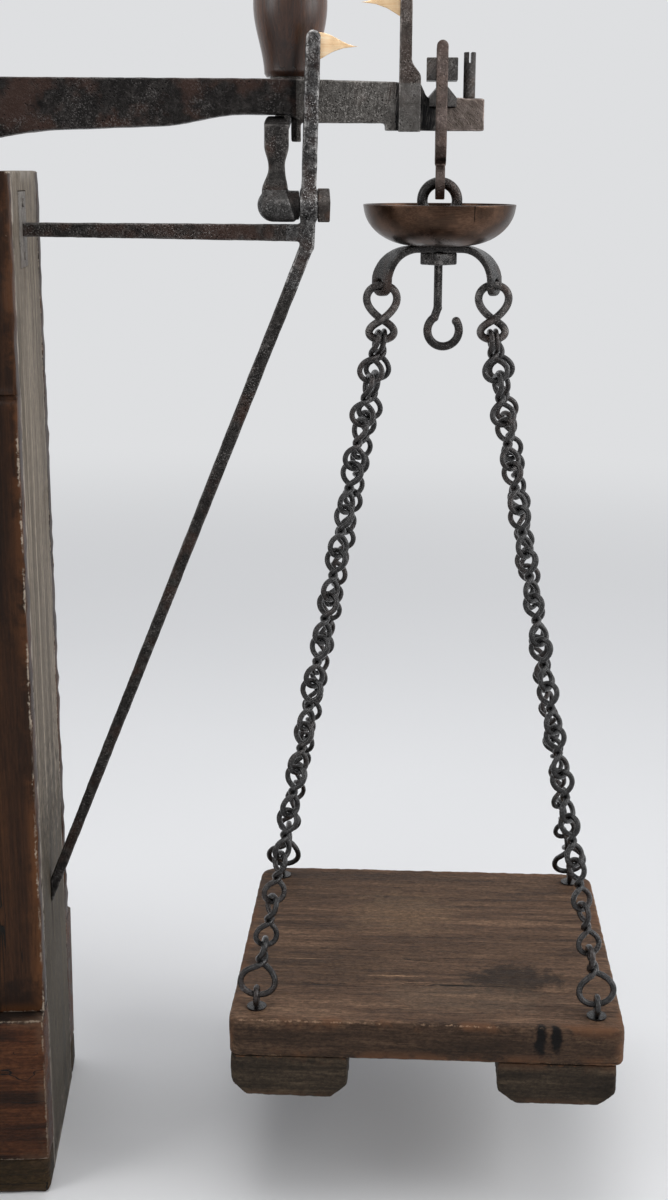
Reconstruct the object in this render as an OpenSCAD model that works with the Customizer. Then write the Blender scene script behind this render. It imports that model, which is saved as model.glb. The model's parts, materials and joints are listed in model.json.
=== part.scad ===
// Platform scale with an unequal-armed beam: goods go on the low platform, weights on the hanging board
// Origin on the floor, straight below the beam's main knife edge
// +X runs along the beam to the hanging board, +Y runs away from the front, +Z is up

/* [Column] */
// Height of the wooden column
column_h = 783.6; // [700:1:850]
// Column length along the beam
column_len = 260; // [230:1:300]
// Column depth from front to back
column_depth = 179; // [170:1:200]
// Distance from the main knife edge to the column's right face
column_reach = 93; // [85:1:100]
// Thickness of the column's boards
board_t = 20; // [16:1:24]
// How far the upper part of the front and back boards is set back
upper_setback = 2.5; // [1:0.5:2.5]
// Height of the groove across the front and back boards
groove_z = 628; // [560:1:680]
// Width of that groove
groove_w = 8; // [6:1:14]
// Height of the opening for the levers in the column's left side
lever_gap_h = 225; // [215:1:300]
// Length of the rod slot in the cap
cap_slot_len = 138; // [132:1:144]
// Width of the rod slot in the cap
cap_slot_w = 56; // [50:1:80]

/* [Base] */
// Length of the platform, front edge to backboard
platform_len = 480; // [420:1:520]
// Width of the platform
platform_w = 380; // [340:1:460]
// Gap between the platform and the column
platform_gap = 10; // [6:1:20]
// Height of the sills on the floor
sill_h = 30; // [24:1:36]
// Width of a sill
sill_w = 48; // [40:1:54]
// Height of the side rails' top
rail_top = 151; // [146:1:153]
// How far the side rails stand proud of the column
rail_proud = 13; // [6:0.5:18]
// Open joint between a side rail and the board above it
rail_joint = 0.4; // [0.1:0.1:4]
// Width of a tie between the sills
tie_w = 50; // [30:1:80]
// Distance between the two ties
tie_gap = 330; // [250:5:420]
// Width of the cross foot at the front end
front_foot_w = 60; // [40:1:90]

/* [Platform] */
// Height of the platform frame's underside
frame_z = 158; // [156:1:170]
// Height of the frame's beams
frame_h = 37; // [34:1:45]
// Width of the frame's beams
frame_beam_w = 30; // [24:1:40]
// Distance of the frame's side beams from the platform's edge
frame_inset = 40; // [20:1:60]
// Thickness of the platform planks
plank_t = 20; // [14:1:26]
// Number of planks
plank_count = 6; // [4:1:8]
// Open joint between two planks
plank_joint = 0.6; // [0.2:0.1:3]
// Height of the backboard over the platform
backboard_h = 90; // [60:1:140]
// Thickness of the backboard
backboard_t = 18; // [14:1:22]
// Thickness of a tongue bar
tongue_t = 8; // [6:1:10]
// Height of a tongue bar
tongue_h = 30; // [28:1:34]
// Distance between the tongue bars
tongue_gap = 52; // [46:1:60]

/* [Lever system] */
// Beam arm on the weight side
weight_arm = 400; // [380:1:420]
// Beam arm of the rod that carries the platform
short_arm = 40; // [38:1:42]
// Beam arm of the rod that carries the lower lever
long_arm = 120; // [116:1:124]
// Height of the knife edges over the column's top
knife_over_column = 64.4; // [62:0.1:70]
// Distance of the lower lever's fulcrum from the platform's front edge
lever_inset = 40; // [34:1:60]
// Height of the lower lever's knife edges
lever_z = 90; // [84:1:94]
// Height of a lower lever arm
lever_h = 28; // [24:1:32]
// Thickness of a lower lever arm
lever_t = 7; // [5:1:9]
// Distance between the lower lever's arms at the fulcrum end, outside
lever_spread = 108; // [90:1:112]
// Distance between the lower lever's arms at the rod, inside
lever_nose_gap = 16; // [14:1:20]
// Place of the tie between the lever's arms, from the lever's end
lever_tie_at = 220; // [200:5:240]
// Length of that tie
lever_tie_len = 56; // [54:1:62]
// Width of that tie
lever_tie_w = 12; // [8:1:20]
// Gap between the lever's arms and the bearings beside them
lever_side_gap = 1.5; // [0.5:0.1:3]
// Distance of the platform's bearings from the middle plane
load_seat_y = 44; // [40:1:46]
// Thickness of the platform's bearings
load_seat_t = 16; // [10:1:18]

/* [Beam] */
// Thickness of the beam's thick part
beam_t = 22; // [20:1:24]
// Thickness of the beam's filed end part
beam_end_t = 12; // [10:1:14]
// Where the filed end part starts, measured from the main knife edge
beam_end_from = 293; // [288:1:297]
// Length of the step between the two parts
beam_step = 10; // [6:1:14]
// Beam length past the pan knife edge
beam_over_pan = 31; // [28:1:40]
// Beam length past the last load knife edge
beam_over_load = 30; // [24:1:40]
// Height of the beam's hump over the knife line
hump_h = 32; // [28:1:40]
// Depth of the beam below the knife line at its middle
beam_mid_depth = 51; // [46:1:54]
// Depth of the beam where its long arm is thickest
beam_arm_depth = 35; // [32:1:38]
// Depth of the beam's neck over the arrest lever
beam_neck_depth = 24; // [23:0.5:26]
// Where the neck starts, measured from the main knife edge
neck_from = 255; // [248:1:258]
// Length of the curve from the long arm's full depth to the neck
neck_curve = 65; // [50:1:80]
// Reach of the deep middle towards the long arm
belly_reach = 130; // [100:1:150]
// Depth of the filed part
beam_end_depth = 29.6; // [28:0.1:32]
// Depth of the end block
beam_block_depth = 34.8; // [33:0.1:38]
// Depth of the notches over the knives
notch_depth = 11.5; // [10:0.5:13]
// Width of the notches over the knives
notch_w = 22.6; // [21:0.2:24]
// Width of the stop lug under the beam
lug_w = 7; // [4:0.5:7]
// Height of the stop lug
lug_h = 19; // [10:0.5:19]

/* [Knives and bearings] */
// Width of a knife
knife_w = 20; // [16:1:20]
// Height of a beam knife
knife_h = 18; // [15:0.5:20]
// Length of the main knife
main_knife_len = 68; // [64:1:70]
// How far the other beam knives stand out on each side of the beam
knife_out = 3; // [1:0.5:3]
// Clearance between an edge and its bearing
bearing_clear = 0.3; // [0.1:0.1:0.5]
// Height of a bearing block over a knife
bearing_h = 16.2; // [12:0.2:20]
// Length of the pan's bearing block along the beam
bearing_w = 22.8; // [18:0.2:23]
// Length of the two load bearing blocks along the beam
load_bearing_w = 16; // [12:0.5:18]
// Thickness of a main bearing
main_bearing_t = 12; // [8:1:12]
// Width of a bearing block with an open V
v_block_w = 36; // [32:1:38]
// Height of such a block over its edge
v_block_up = 12; // [10:1:12]
// Gap between the beam and the main bearings
main_bearing_gap = 9; // [6:1:12]

/* [Rods] */
// Diameter of the two load rods
rod_d = 8; // [6:0.5:9]
// Thickness of a shackle's side bars
shackle_t = 5; // [4:0.5:6]
// Length of a bearing's tenon in a side bar
tenon_len = 3.5; // [2:0.5:3.5]
// Width of a shackle's side bars
shackle_w = 8.4; // [6:0.2:10]
// Height of a shackle over the knife line
shackle_up = 28; // [24:1:32]
// Gap between a knife and the shackle's side bars
shackle_gap = 2.5; // [1.5:0.5:4]
// Inner depth of a load shackle below the knife line
shackle_down = 58; // [56:1:60]
// Inner radius of the eye at the lower end of a rod
rod_eye_r = 14; // [13:0.5:15]
// Width of the eye's ring
rod_eye_w = 6; // [4:0.5:7]
// Thickness of the eye
rod_eye_t = 10; // [7:1:12]

/* [Bracket] */
// Distance of the bracket in front of the beam's middle plane
bracket_y = 16; // [15:0.5:18]
// Thickness of the bracket from front to back
bracket_t = 11; // [8:0.5:12]
// Width of the upright
upright_w = 10.8; // [9:0.2:12]
// Distance of the upright's foot from the pan knife edge
upright_from_pan = 99.5; // [98:0.5:101]
// Lean of the upright over its height
upright_lean = 4.5; // [2:0.5:5]
// Height of the upright's top over the knife line
upright_top = 34; // [28:1:40]
// Depth of the bend below the knife line
bend_drop = 117; // [115:1:122]
// Depth of the arm below the knife line
arm_drop = 105.6; // [104:0.2:108]
// Height of the arm's bar
arm_h = 10; // [8:0.5:10.5]
// Height of the brace's foot over the floor
brace_foot_z = 215; // [180:1:300]
// Width of the brace at the bend
brace_w = 10; // [8:0.5:12]
// Width of the brace at its foot
brace_foot_w = 8; // [6:0.5:10]
// Thickness of the iron plate behind the arm
wall_plate_t = 3; // [2:0.5:5]
// Width of that plate
wall_plate_w = 38; // [24:1:50]
// Height of that plate
wall_plate_h = 54; // [30:1:70]
// Thickness of the two pointers
pointer_t = 1.6; // [1:0.2:2.4]
// Height of a pointer at its root
pointer_h = 19; // [14:1:24]
// Gap between the two pointer tips along the beam
pointer_tip_gap = 2; // [1:0.5:6]

/* [Arrest lever] */
// Depth of the lever's pivot below the knife line
pivot_drop = 88; // [87:0.5:89]
// Diameter of the pivot bolt
pivot_d = 8; // [6:0.5:10]
// Running clearance round the pivot bolt
pivot_clear = 0.05; // [0.03:0.01:0.1]
// Radius of the lever's boss
boss_r = 12; // [10:0.5:12]
// Length of the lever's boss with its dome
boss_len = 31; // [28:1:34]
// Length of the thinner collar between the boss and the bracket
collar_len = 3; // [2:0.5:4]
// How much longer the collar is at the top than at the bottom
boss_slant = 8; // [4:0.5:10]
// Width of the lever's waist
waist_w = 11.8; // [9:0.2:14]
// Width of the lever's head
head_w = 17.5; // [14:0.5:18]
// Height over which the head's corners are rounded
head_round = 5; // [3:0.5:6]
// Gap between the lever's head and the beam
head_gap = 0.6; // [0.4:0.1:1]
// Side of the square nut
nut_side = 18; // [14:0.5:20]
// Thickness of the square nut
nut_t = 9; // [6:0.5:12]
// Distance of the handle behind the beam's middle plane
handle_y = 34; // [32:1:40]
// Diameter of the handle at its neck
handle_neck_d = 33; // [26:1:36]
// Greatest diameter of the handle
handle_d = 55; // [44:1:56]
// Length of the handle
handle_len = 112; // [90:1:125]
// Share of the handle's length at which it is thickest
handle_belly = 0.46; // [0.4:0.01:0.66]

/* [Pan hanger] */
// Inner depth of the pan stirrup below the knife line
stirrup_down = 54; // [50:0.5:56]
// Outer radius of the stirrup's eye
stirrup_eye_r = 13; // [11:0.5:14]
// Thickness of the stirrup's eye
stirrup_eye_t = 7; // [5:0.5:7]
// Radius of the hole in the stirrup's eye
stirrup_hole_r = 5.5; // [5:0.1:6.5]
// Mean radius of the eye bolt's ring
ring_r = 13; // [12:0.5:14]
// Wire diameter of that ring
ring_wire = 8; // [6:0.5:8.5]
// Radius of the dish's rim
dish_r = 56.8; // [50:0.2:62]
// Radius of the dish's flat bottom
dish_flat = 18; // [14:0.5:22]
// Depth of the dish
dish_h = 30; // [26:0.5:32]
// Thickness of the dish
dish_t = 1.5; // [1:0.1:2.5]
// Gap between the ring and the floor of the dish
dish_under_ring = 16; // [12:0.5:20]
// Half width of the yoke, to the outside of its ends
yoke_half = 45; // [40:0.5:52]
// Half width of the yoke's flat middle
yoke_flat = 18; // [14:0.5:20]
// Thickness of the yoke's band
yoke_t = 5; // [4:0.5:6]
// Width of the yoke's band
yoke_w = 18; // [16:0.5:22]
// Diameter of the eye bolt's stem
stem_d = 8; // [6:0.5:9]
// Width of the square nut under the yoke
yoke_nut_w = 20; // [18:0.2:20]
// Turn of that nut
yoke_nut_turn = 41; // [0:1:45]
// Thickness of that nut
yoke_nut_t = 9; // [6:0.5:12]
// Diameter of the hook's rod
hook_d = 6.4; // [5:0.2:8]
// Depth of the hook's middle below the nut
hook_drop = 49; // [40:1:60]
// Mean radius of the hook
hook_r = 12; // [10:0.5:14]

/* [Chains] */
// Number of ordinary links in a chain
link_count = 14; // [10:1:18]
// Wire diameter of an ordinary link
link_wire = 4.2; // [3.6:0.1:4.4]
// Mean radius of an ordinary link's loops
link_r = 8.8; // [8:0.1:9.4]
// Distance between the wires of the two loops
link_neck = 3.1; // [1:0.1:4]
// Clearance between two linked wires
link_clear = 0.3; // [0.2:0.1:0.5]
// Wire diameter of the last link at the board
end_wire = 4.8; // [4:0.1:5]
// Mean radius of the last link's small loop
end_small_r = 9; // [8:0.1:10]
// Mean radius of the last link's large loop
end_large_r = 12.2; // [11:0.1:13]
// Distance between the wires of the last link's two loops
end_neck = 1.5; // [1:0.1:3]
// Wire diameter of the two top links
top_wire = 6; // [5:0.1:6.4]
// Mean radius of a top link's upper loop
top_upper_r = 11.5; // [10.5:0.1:12.5]
// Mean radius of a top link's lower loop
top_lower_r = 9.6; // [9:0.1:10.5]

/* [Weight board] */
// Length of the board along the beam
pan_len = 300; // [280:1:320]
// Width of the board
pan_w = 284; // [270:1:300]
// Thickness of the board
pan_t = 31; // [26:1:36]
// Radius of the board's corners
pan_corner = 8; // [3:0.5:14]
// Radius of the board's corners on the far side
pan_far_corner = 18; // [8:0.5:20]
// Turn of the hanging board, seen from above
pan_turn = -6.1; // [-8:0.1:0]
// Distance of the eyes from the board's edges
eye_inset = 20; // [16:0.5:26]
// Mean radius of an eye
eye_r = 6.5; // [6:0.1:7.2]
// Wire diameter of an eye
eye_wire = 4.4; // [3.6:0.1:4.6]
// Thickness of the washer under an eye
eye_washer_t = 1.2; // [0.8:0.1:2]
// Width of a cleat
cleat_w = 90; // [70:1:100]
// Height of a cleat
cleat_h = 34; // [26:1:40]
// Distance of the left cleat's middle from the board's middle
cleat_left_at = 104; // [95:1:105]
// Distance of the right cleat's middle from the board's middle
cleat_right_at = 100; // [90:1:105]
// Size of the chamfer on a cleat's lower corners
cleat_chamfer = 11; // [6:0.5:14]

/* [Hidden] */
$fn = 48;
eps = 0.01;

// Places worked out from the sizes above
knife_z = column_h + knife_over_column;
half_depth = column_depth / 2;
column_left = column_reach - column_len;
inner_y = half_depth - board_t;
platform_back = column_left - platform_gap;
platform_front = platform_back - platform_len;
lever_fulcrum_x = platform_front + lever_inset;
lever_len = -long_arm - lever_fulcrum_x;
load_knife_x = lever_fulcrum_x + lever_len * short_arm / long_arm;
rail_y = half_depth + rail_proud;
plank_z = frame_z + frame_h;
frame_y = platform_w / 2 - frame_inset;
tongue_y = tongue_gap / 2;
tongue_z = frame_z + frame_h - tongue_h;
tongue_knife_z = tongue_z + 5;
cap_slot_x = -cap_slot_len - 16;
neck_z = knife_z - beam_neck_depth;
pan_bar_y = beam_end_t / 2 + knife_out + shackle_gap;
load_bar_y = beam_t / 2 + knife_out + shackle_gap;
end_y = beam_end_t / 2;
block_x = weight_arm - 41.4;
pointer_bar_x = weight_arm - 32.3;
pointer_tip_x = weight_arm - 60.3;
stud_x = weight_arm + 20.2;
main_bearing_y = beam_t / 2 + main_bearing_gap;
pivot_z = knife_z - pivot_drop;
upright_x = weight_arm - upright_from_pan;
pivot_x = upright_x - upright_w / 2;
lever_x = pivot_x - 16.7;
handle_x = pivot_x - 5;
nut_x = pivot_x + upright_w + upright_lean / 2;
bend_z = knife_z - bend_drop;
arm_z = knife_z - arm_drop;
stirrup_eye_z = knife_z - stirrup_down - shackle_t - stirrup_eye_r + 1;
ring_top_z = stirrup_eye_z - stirrup_hole_r + ring_wire / 2 + 3 * bearing_clear;
ring_z = ring_top_z - ring_r;
dish_z = ring_z - ring_r - ring_wire / 2 - dish_under_ring;
yoke_bend_r = yoke_half - yoke_flat;
yoke_hole_z = dish_z - yoke_bend_r - 1.3;
yoke_hole_r = top_wire / 2 + 1.2;
link_hang_z = yoke_hole_z - 0.5;
link_hang_x = yoke_half - yoke_t / 2;
nut_z = dish_z - yoke_t - yoke_nut_t;
top_upper_z = link_hang_z - top_upper_r;
top_lower_z = top_upper_z - top_upper_r - top_lower_r + 1;

// Chain lengths: the board hangs where the links let it
link_len = 4 * link_r + link_neck;
link_pitch = link_len - link_wire - link_clear;
end_from = link_count * link_pitch - (end_wire - link_wire) / 2;
end_len = 2 * end_small_r + 2 * end_large_r + end_neck;
chain_span = end_from + end_len;
end_grip = (eye_wire + end_wire) / 2 + link_clear;
start_r = top_lower_r - (top_wire + link_wire) / 2 - link_clear;
start_x = link_wire / 2 + link_clear;
start_z = top_lower_z - sqrt(pow(start_r, 2) - pow(start_x, 2));
eye_x = pan_len / 2 - eye_inset;
eye_y = pan_w / 2 - eye_inset;
eye_up = eye_washer_t + eye_wire / 2 + 2 * eye_r - 0.8;
chain_drop = sqrt(pow(chain_span - end_grip, 2) - pow(eye_x - link_hang_x, 2) - pow(eye_y, 2));
pan_top = start_z - chain_drop - eye_up;

// Points of a curve that leaves and arrives level
function ease(a, b, n = 8) = [for (i = [0:n]) [a[0] + (b[0] - a[0]) * i / n,
    a[1] + (b[1] - a[1]) * (1 - cos(180 * i / n)) / 2]];

// Points of an arc round a centre
function arc(c, r, from, to, n = 12) =
    [for (i = [0:n]) c + r * [cos(from + (to - from) * i / n), sin(from + (to - from) * i / n)]];

function turned(p, a) = [p[0] * cos(a) - p[1] * sin(a), p[0] * sin(a) + p[1] * cos(a)];

// Solid from an outline drawn in X and Z, between two Y planes
module side_plate(points, y0, y1) {
    translate([0, y1, 0]) rotate([90, 0, 0]) linear_extrude(height = y1 - y0) polygon(points);
}

// Solid from an outline drawn in Y and Z, between two X planes
module end_plate(points, x0, x1) {
    translate([x0, 0, 0]) rotate([90, 0, 90]) linear_extrude(height = x1 - x0) polygon(points);
}

module box(x0, x1, y0, y1, z0, z1) {
    translate([x0, y0, z0]) cube([x1 - x0, y1 - y0, z1 - z0]);
}

// Flat bar with round ends between two points drawn in X and Z
module bar(a, b, wa, wb, y0, y1) {
    d = b - a;
    n = [-d[1], d[0]] / norm(d);
    side_plate([a + n * wa / 2, a - n * wa / 2, b - n * wb / 2, b + n * wb / 2], y0, y1);
    for (end = [[a, wa], [b, wb]])
        translate([end[0][0], y1, end[0][1]]) rotate([90, 0, 0]) cylinder(d = end[1], h = y1 - y0);
}

// Ring of wire in the X and Z plane
module wire_ring(r, wire) {
    rotate([90, 0, 0]) rotate_extrude() translate([r, 0]) circle(d = wire, $fn = 20);
}

module round_x(r, x0, x1, y, z) {
    translate([x0, y, z]) rotate([0, 90, 0]) cylinder(r = r, h = x1 - x0);
}

// Base
module sills() {
    color("saddlebrown") difference() {
        for (s = [-1, 1])
            box(platform_front + front_foot_w, column_reach, s * rail_y - (s + 1) / 2 * sill_w,
                s * rail_y + (1 - s) / 2 * sill_w, 0, sill_h);
        box(column_reach - board_t, column_reach + 1, -inner_y, inner_y, -1, sill_h + 1);
    }
}

// Ties between the sills: the first lies below the main knife edge
module sill_ties() {
    inner = rail_y - sill_w;
    color("saddlebrown") for (x = [0, -tie_gap])
        box(x - tie_w / 2, x + tie_w / 2, -inner, inner, 0, sill_h);
}

module front_foot() {
    color("saddlebrown") box(platform_front, platform_front + front_foot_w,
        -platform_w / 2, platform_w / 2, 0, sill_h);
}

module rail(side) {
    y0 = side > 0 ? inner_y : -rail_y;
    color("sienna") box(platform_front + board_t, column_reach,
        y0, y0 + board_t + rail_proud, sill_h, rail_top);
}

module front_board() {
    color("sienna") box(platform_front, platform_front + board_t, -rail_y, rail_y, sill_h, rail_top);
}

// Column
module column_right_board() {
    color("dimgray") difference() {
        box(column_reach - board_t, column_reach, -inner_y, inner_y, 0, column_h);
        box(column_reach - wall_plate_t, column_reach + eps, -bracket_y - wall_plate_w / 2,
            -bracket_y + wall_plate_w / 2, arm_z - wall_plate_h / 2, arm_z + wall_plate_h / 2);
    }
}

module column_left_board() {
    color("dimgray") box(column_left, column_left + board_t, -inner_y, inner_y, lever_gap_h, column_h);
}

module column_face_board(side) {
    foot = rail_top + rail_joint;
    set_back = half_depth - upper_setback;
    color("sienna") end_plate([[side * inner_y, foot], [side * half_depth, foot],
        [side * half_depth, groove_z - groove_w / 2], [side * (half_depth - groove_w / 2), groove_z],
        [side * set_back, groove_z + groove_w / 2 - upper_setback], [side * set_back, column_h],
        [side * inner_y, column_h]], column_left, column_reach);
}

module column_cap() {
    color("sienna") difference() {
        box(column_left + board_t, column_reach - board_t, -inner_y, inner_y, column_h - board_t, column_h);
        box(cap_slot_x, cap_slot_x + cap_slot_len, -cap_slot_w / 2, cap_slot_w / 2,
            column_h - board_t - 1, column_h + 1);
    }
}

module wall_plate() {
    color("dimgray") {
        box(column_reach - wall_plate_t, column_reach + 0.5, -bracket_y - wall_plate_w / 2,
            -bracket_y + wall_plate_w / 2, arm_z - wall_plate_h / 2, arm_z + wall_plate_h / 2);
        for (dz = [-1, 1])
            round_x(3.2, column_reach, column_reach + 1.8, -bracket_y, arm_z + dz * (wall_plate_h / 2 - 8));
    }
}

// Bracket
module bracket() {
    y0 = -bracket_y - bracket_t / 2;
    y1 = -bracket_y + bracket_t / 2;
    bend = [upright_x, bend_z];
    top = [upright_x + upright_lean, knife_z + upright_top - upright_w / 2];
    color("#3a3230") difference() {
        union() {
            bar(bend, top, upright_w, upright_w, y0, y1);
            bar([column_reach - 2, brace_foot_z], bend, brace_foot_w, brace_w, y0 + 1, y1 - 1);
            side_plate([[column_reach + 0.5, arm_z - arm_h / 2], [upright_x, arm_z - arm_h / 2 - 3.4],
                [upright_x, arm_z + arm_h / 2 - 1], [column_reach + 0.5, arm_z + arm_h / 2]], y0 + 1, y1 - 1);
            round_x(boss_r - 1, pivot_x, nut_x, -bracket_y, pivot_z);
        }
        box(column_reach - 20, column_reach, -40, 0, brace_foot_z - 60, brace_foot_z + 60);
        round_x(pivot_d / 2, pivot_x - 1, pivot_x + 20, -bracket_y, pivot_z);
    }
}

// Brass fin: root at the origin, tip a length away along X
module pointer_fin(length, y0) {
    h = pointer_h / 2;
    top = ease([0, h], [length, 0], 8);
    foot = [[length * 0.62, -h * 0.14], [length * 0.34, -h * 0.42], [length * 0.16, -h * 0.72], [0, -h]];
    side_plate(concat([[-upright_w * 0.6, h]], top, foot, [[-upright_w * 0.6, -h]]), y0, y0 + pointer_t);
}

module fixed_pointer() {
    root = upright_x + upright_lean + upright_w / 2 - 1;
    color("goldenrod") translate([root, 0, knife_z + upright_top - 10.7])
        pointer_fin(pointer_tip_x - pointer_tip_gap - root, -bracket_y + bracket_t / 2);
}

module pivot_bolt() {
    color("dimgray") round_x(pivot_d / 2, pivot_x - boss_len + 10, nut_x + nut_t, -bracket_y, pivot_z);
}

module pivot_nut() {
    color("dimgray") difference() {
        translate([nut_x, -bracket_y, pivot_z]) rotate([32, 0, 0])
            translate([0, -nut_side / 2, -nut_side / 2]) cube([nut_t, nut_side, nut_side]);
        round_x(pivot_d / 2, pivot_x, pivot_x + 40, -bracket_y, pivot_z);
    }
}

// Bearings fixed to the column and the base
module v_block(x, y0, y1, z0, edge) {
    half = v_block_w / 2;
    top = edge + v_block_up;
    difference() {
        box(x - half, x + half, y0, y1, z0, top);
        side_plate([[x, edge - bearing_clear], [x + half - 1, top + 1], [x - half + 1, top + 1]],
            y0 - 1, y1 + 1);
    }
}

module fulcrum_stand() {
    foot_t = 6;
    outer = main_bearing_y + main_bearing_t;
    color("#3a3230") {
        box(-15, column_reach - board_t - 8, -outer - 10, outer + 10, column_h, column_h + foot_t);
        for (s = [-1, 1])
            box(-14, 14, min(s * main_bearing_y, s * outer), max(s * main_bearing_y, s * outer),
                column_h + foot_t - eps, knife_z - v_block_up);
    }
}

module main_bearings() {
    outer = main_bearing_y + main_bearing_t;
    color("slategray") {
        v_block(0, main_bearing_y, outer, knife_z - v_block_up, knife_z);
        v_block(0, -outer, -main_bearing_y, knife_z - v_block_up, knife_z);
    }
}

module lever_bearings() {
    color("slategray") {
        v_block(lever_fulcrum_x, lever_spread / 2 + lever_side_gap, inner_y, sill_h, lever_z);
        v_block(lever_fulcrum_x, -inner_y, -lever_spread / 2 - lever_side_gap, sill_h, lever_z);
    }
}

// Beam
function notch(x) = [[x - notch_w / 2, knife_z + 1], [x - notch_w / 2, knife_z - notch_depth],
    [x + notch_w / 2, knife_z - notch_depth], [x + notch_w / 2, knife_z + 1]];

function edge_up(x, z) = [[x, z], [x + knife_w / 2, z - notch_depth], [x + knife_w / 2, z - knife_h],
    [x - knife_w / 2, z - knife_h], [x - knife_w / 2, z - notch_depth]];

function edge_down(x, z, h) = [[x, z], [x + knife_w / 2 * h / knife_h, z + h],
    [x - knife_w / 2 * h / knife_h, z + h]];

module beam() {
    left = -long_arm - beam_over_load;
    right = weight_arm + beam_over_pan;
    top = knife_z + 1;
    outline = concat(
        [[left, knife_z - 6], [left + 6, top]], notch(-long_arm), notch(-short_arm),
        ease([-short_arm + notch_w / 2 + 2, top], [-5, knife_z + hump_h]),
        ease([7, knife_z + hump_h], [52, top]),
        [[beam_end_from, top], [weight_arm - 42, knife_z - 0.4], [weight_arm - 16, knife_z - 1.7],
            [weight_arm - notch_w / 2, knife_z - notch_depth],
            [weight_arm + notch_w / 2, knife_z - notch_depth], [right, knife_z - notch_depth - 0.4],
            [right, knife_z - beam_block_depth], [block_x, knife_z - beam_block_depth],
            [block_x, knife_z - beam_end_depth], [beam_end_from + beam_step / 2, knife_z - beam_end_depth],
            [beam_end_from - beam_step / 2, neck_z]],
        ease([neck_from, neck_z], [neck_from - neck_curve, knife_z - beam_arm_depth + 2.4]),
        ease([belly_reach, knife_z - beam_arm_depth], [0, knife_z - beam_mid_depth]),
        ease([-8, knife_z - beam_mid_depth], [-100, knife_z - beam_arm_depth - 1]),
        [[left + 8, knife_z - beam_arm_depth + 3], [left, knife_z - beam_arm_depth + 9]]);
    plan = [[left, -beam_t / 2], [beam_end_from - beam_step / 2, -beam_t / 2],
        [beam_end_from + beam_step / 2, -end_y], [right, -end_y], [right, end_y],
        [beam_end_from + beam_step / 2, end_y], [beam_end_from - beam_step / 2, beam_t / 2],
        [left, beam_t / 2]];
    color("#3b302c") difference() {
        union() {
            intersection() {
                side_plate(outline, -beam_t, beam_t);
                translate([0, 0, knife_z - 100]) linear_extrude(height = 200) polygon(plan);
            }
            box(beam_end_from - lug_w / 2, beam_end_from + lug_w / 2, -lug_w + 2, lug_w - 2,
                neck_z - lug_h, neck_z);
        }
        side_plate(edge_down(0, knife_z, knife_h), -beam_t, beam_t);
        for (x = [-long_arm, -short_arm, weight_arm])
            side_plate(edge_up(x, knife_z), -beam_t, beam_t);
        translate([stud_x, 0, knife_z - 28]) cylinder(d = 6, h = 40);
    }
}

module main_knife() {
    color("slategray") side_plate(edge_down(0, knife_z, knife_h), -main_knife_len / 2, main_knife_len / 2);
}

module beam_knife(x, half) {
    color("slategray") side_plate(edge_up(x, knife_z), -half - knife_out, half + knife_out);
}

module pointer_bar() {
    x = pointer_bar_x;
    z = knife_z - beam_block_depth - 0.9;
    outline = concat([[x, z], [x + 16, z], [x + 16, knife_z + 2]],
        [for (p = ease([knife_z + 2, x + 16], [knife_z + 15, x + 9.1])) [p[1], p[0]]],
        [[x + 9.1, knife_z + 76], [x + 6.5, knife_z + 79], [x + 3, knife_z + 79], [x + 0.4, knife_z + 76]]);
    color("#3a3230") side_plate(outline, -end_y - 4, -end_y);
}

module moving_pointer() {
    root = pointer_bar_x + 0.4;
    color("goldenrod") translate([root, 0, knife_z + 54]) mirror([1, 0, 0])
        pointer_fin(root - pointer_tip_x, -end_y);
}

module end_stud() {
    color("dimgray") difference() {
        translate([stud_x, 0, 0]) {
            translate([0, 0, knife_z - 28]) cylinder(d = 6, h = 20);
            translate([0, 0, knife_z - notch_depth]) cylinder(d = 8.8, h = 32);
        }
        box(stud_x - 1, stud_x + 1, -8, 8, knife_z + 13, knife_z + 30);
    }
}

// Tang that runs from the arrest lever's head up into the ferrule, behind the beam
module lever_tang() {
    hull() {
        translate([lever_x, handle_y - 22, pivot_z + 43]) sphere(r = 6, $fn = 24);
        translate([handle_x - 0.6, handle_y - 1, pivot_z + 79]) sphere(r = 7, $fn = 24);
    }
}

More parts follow.
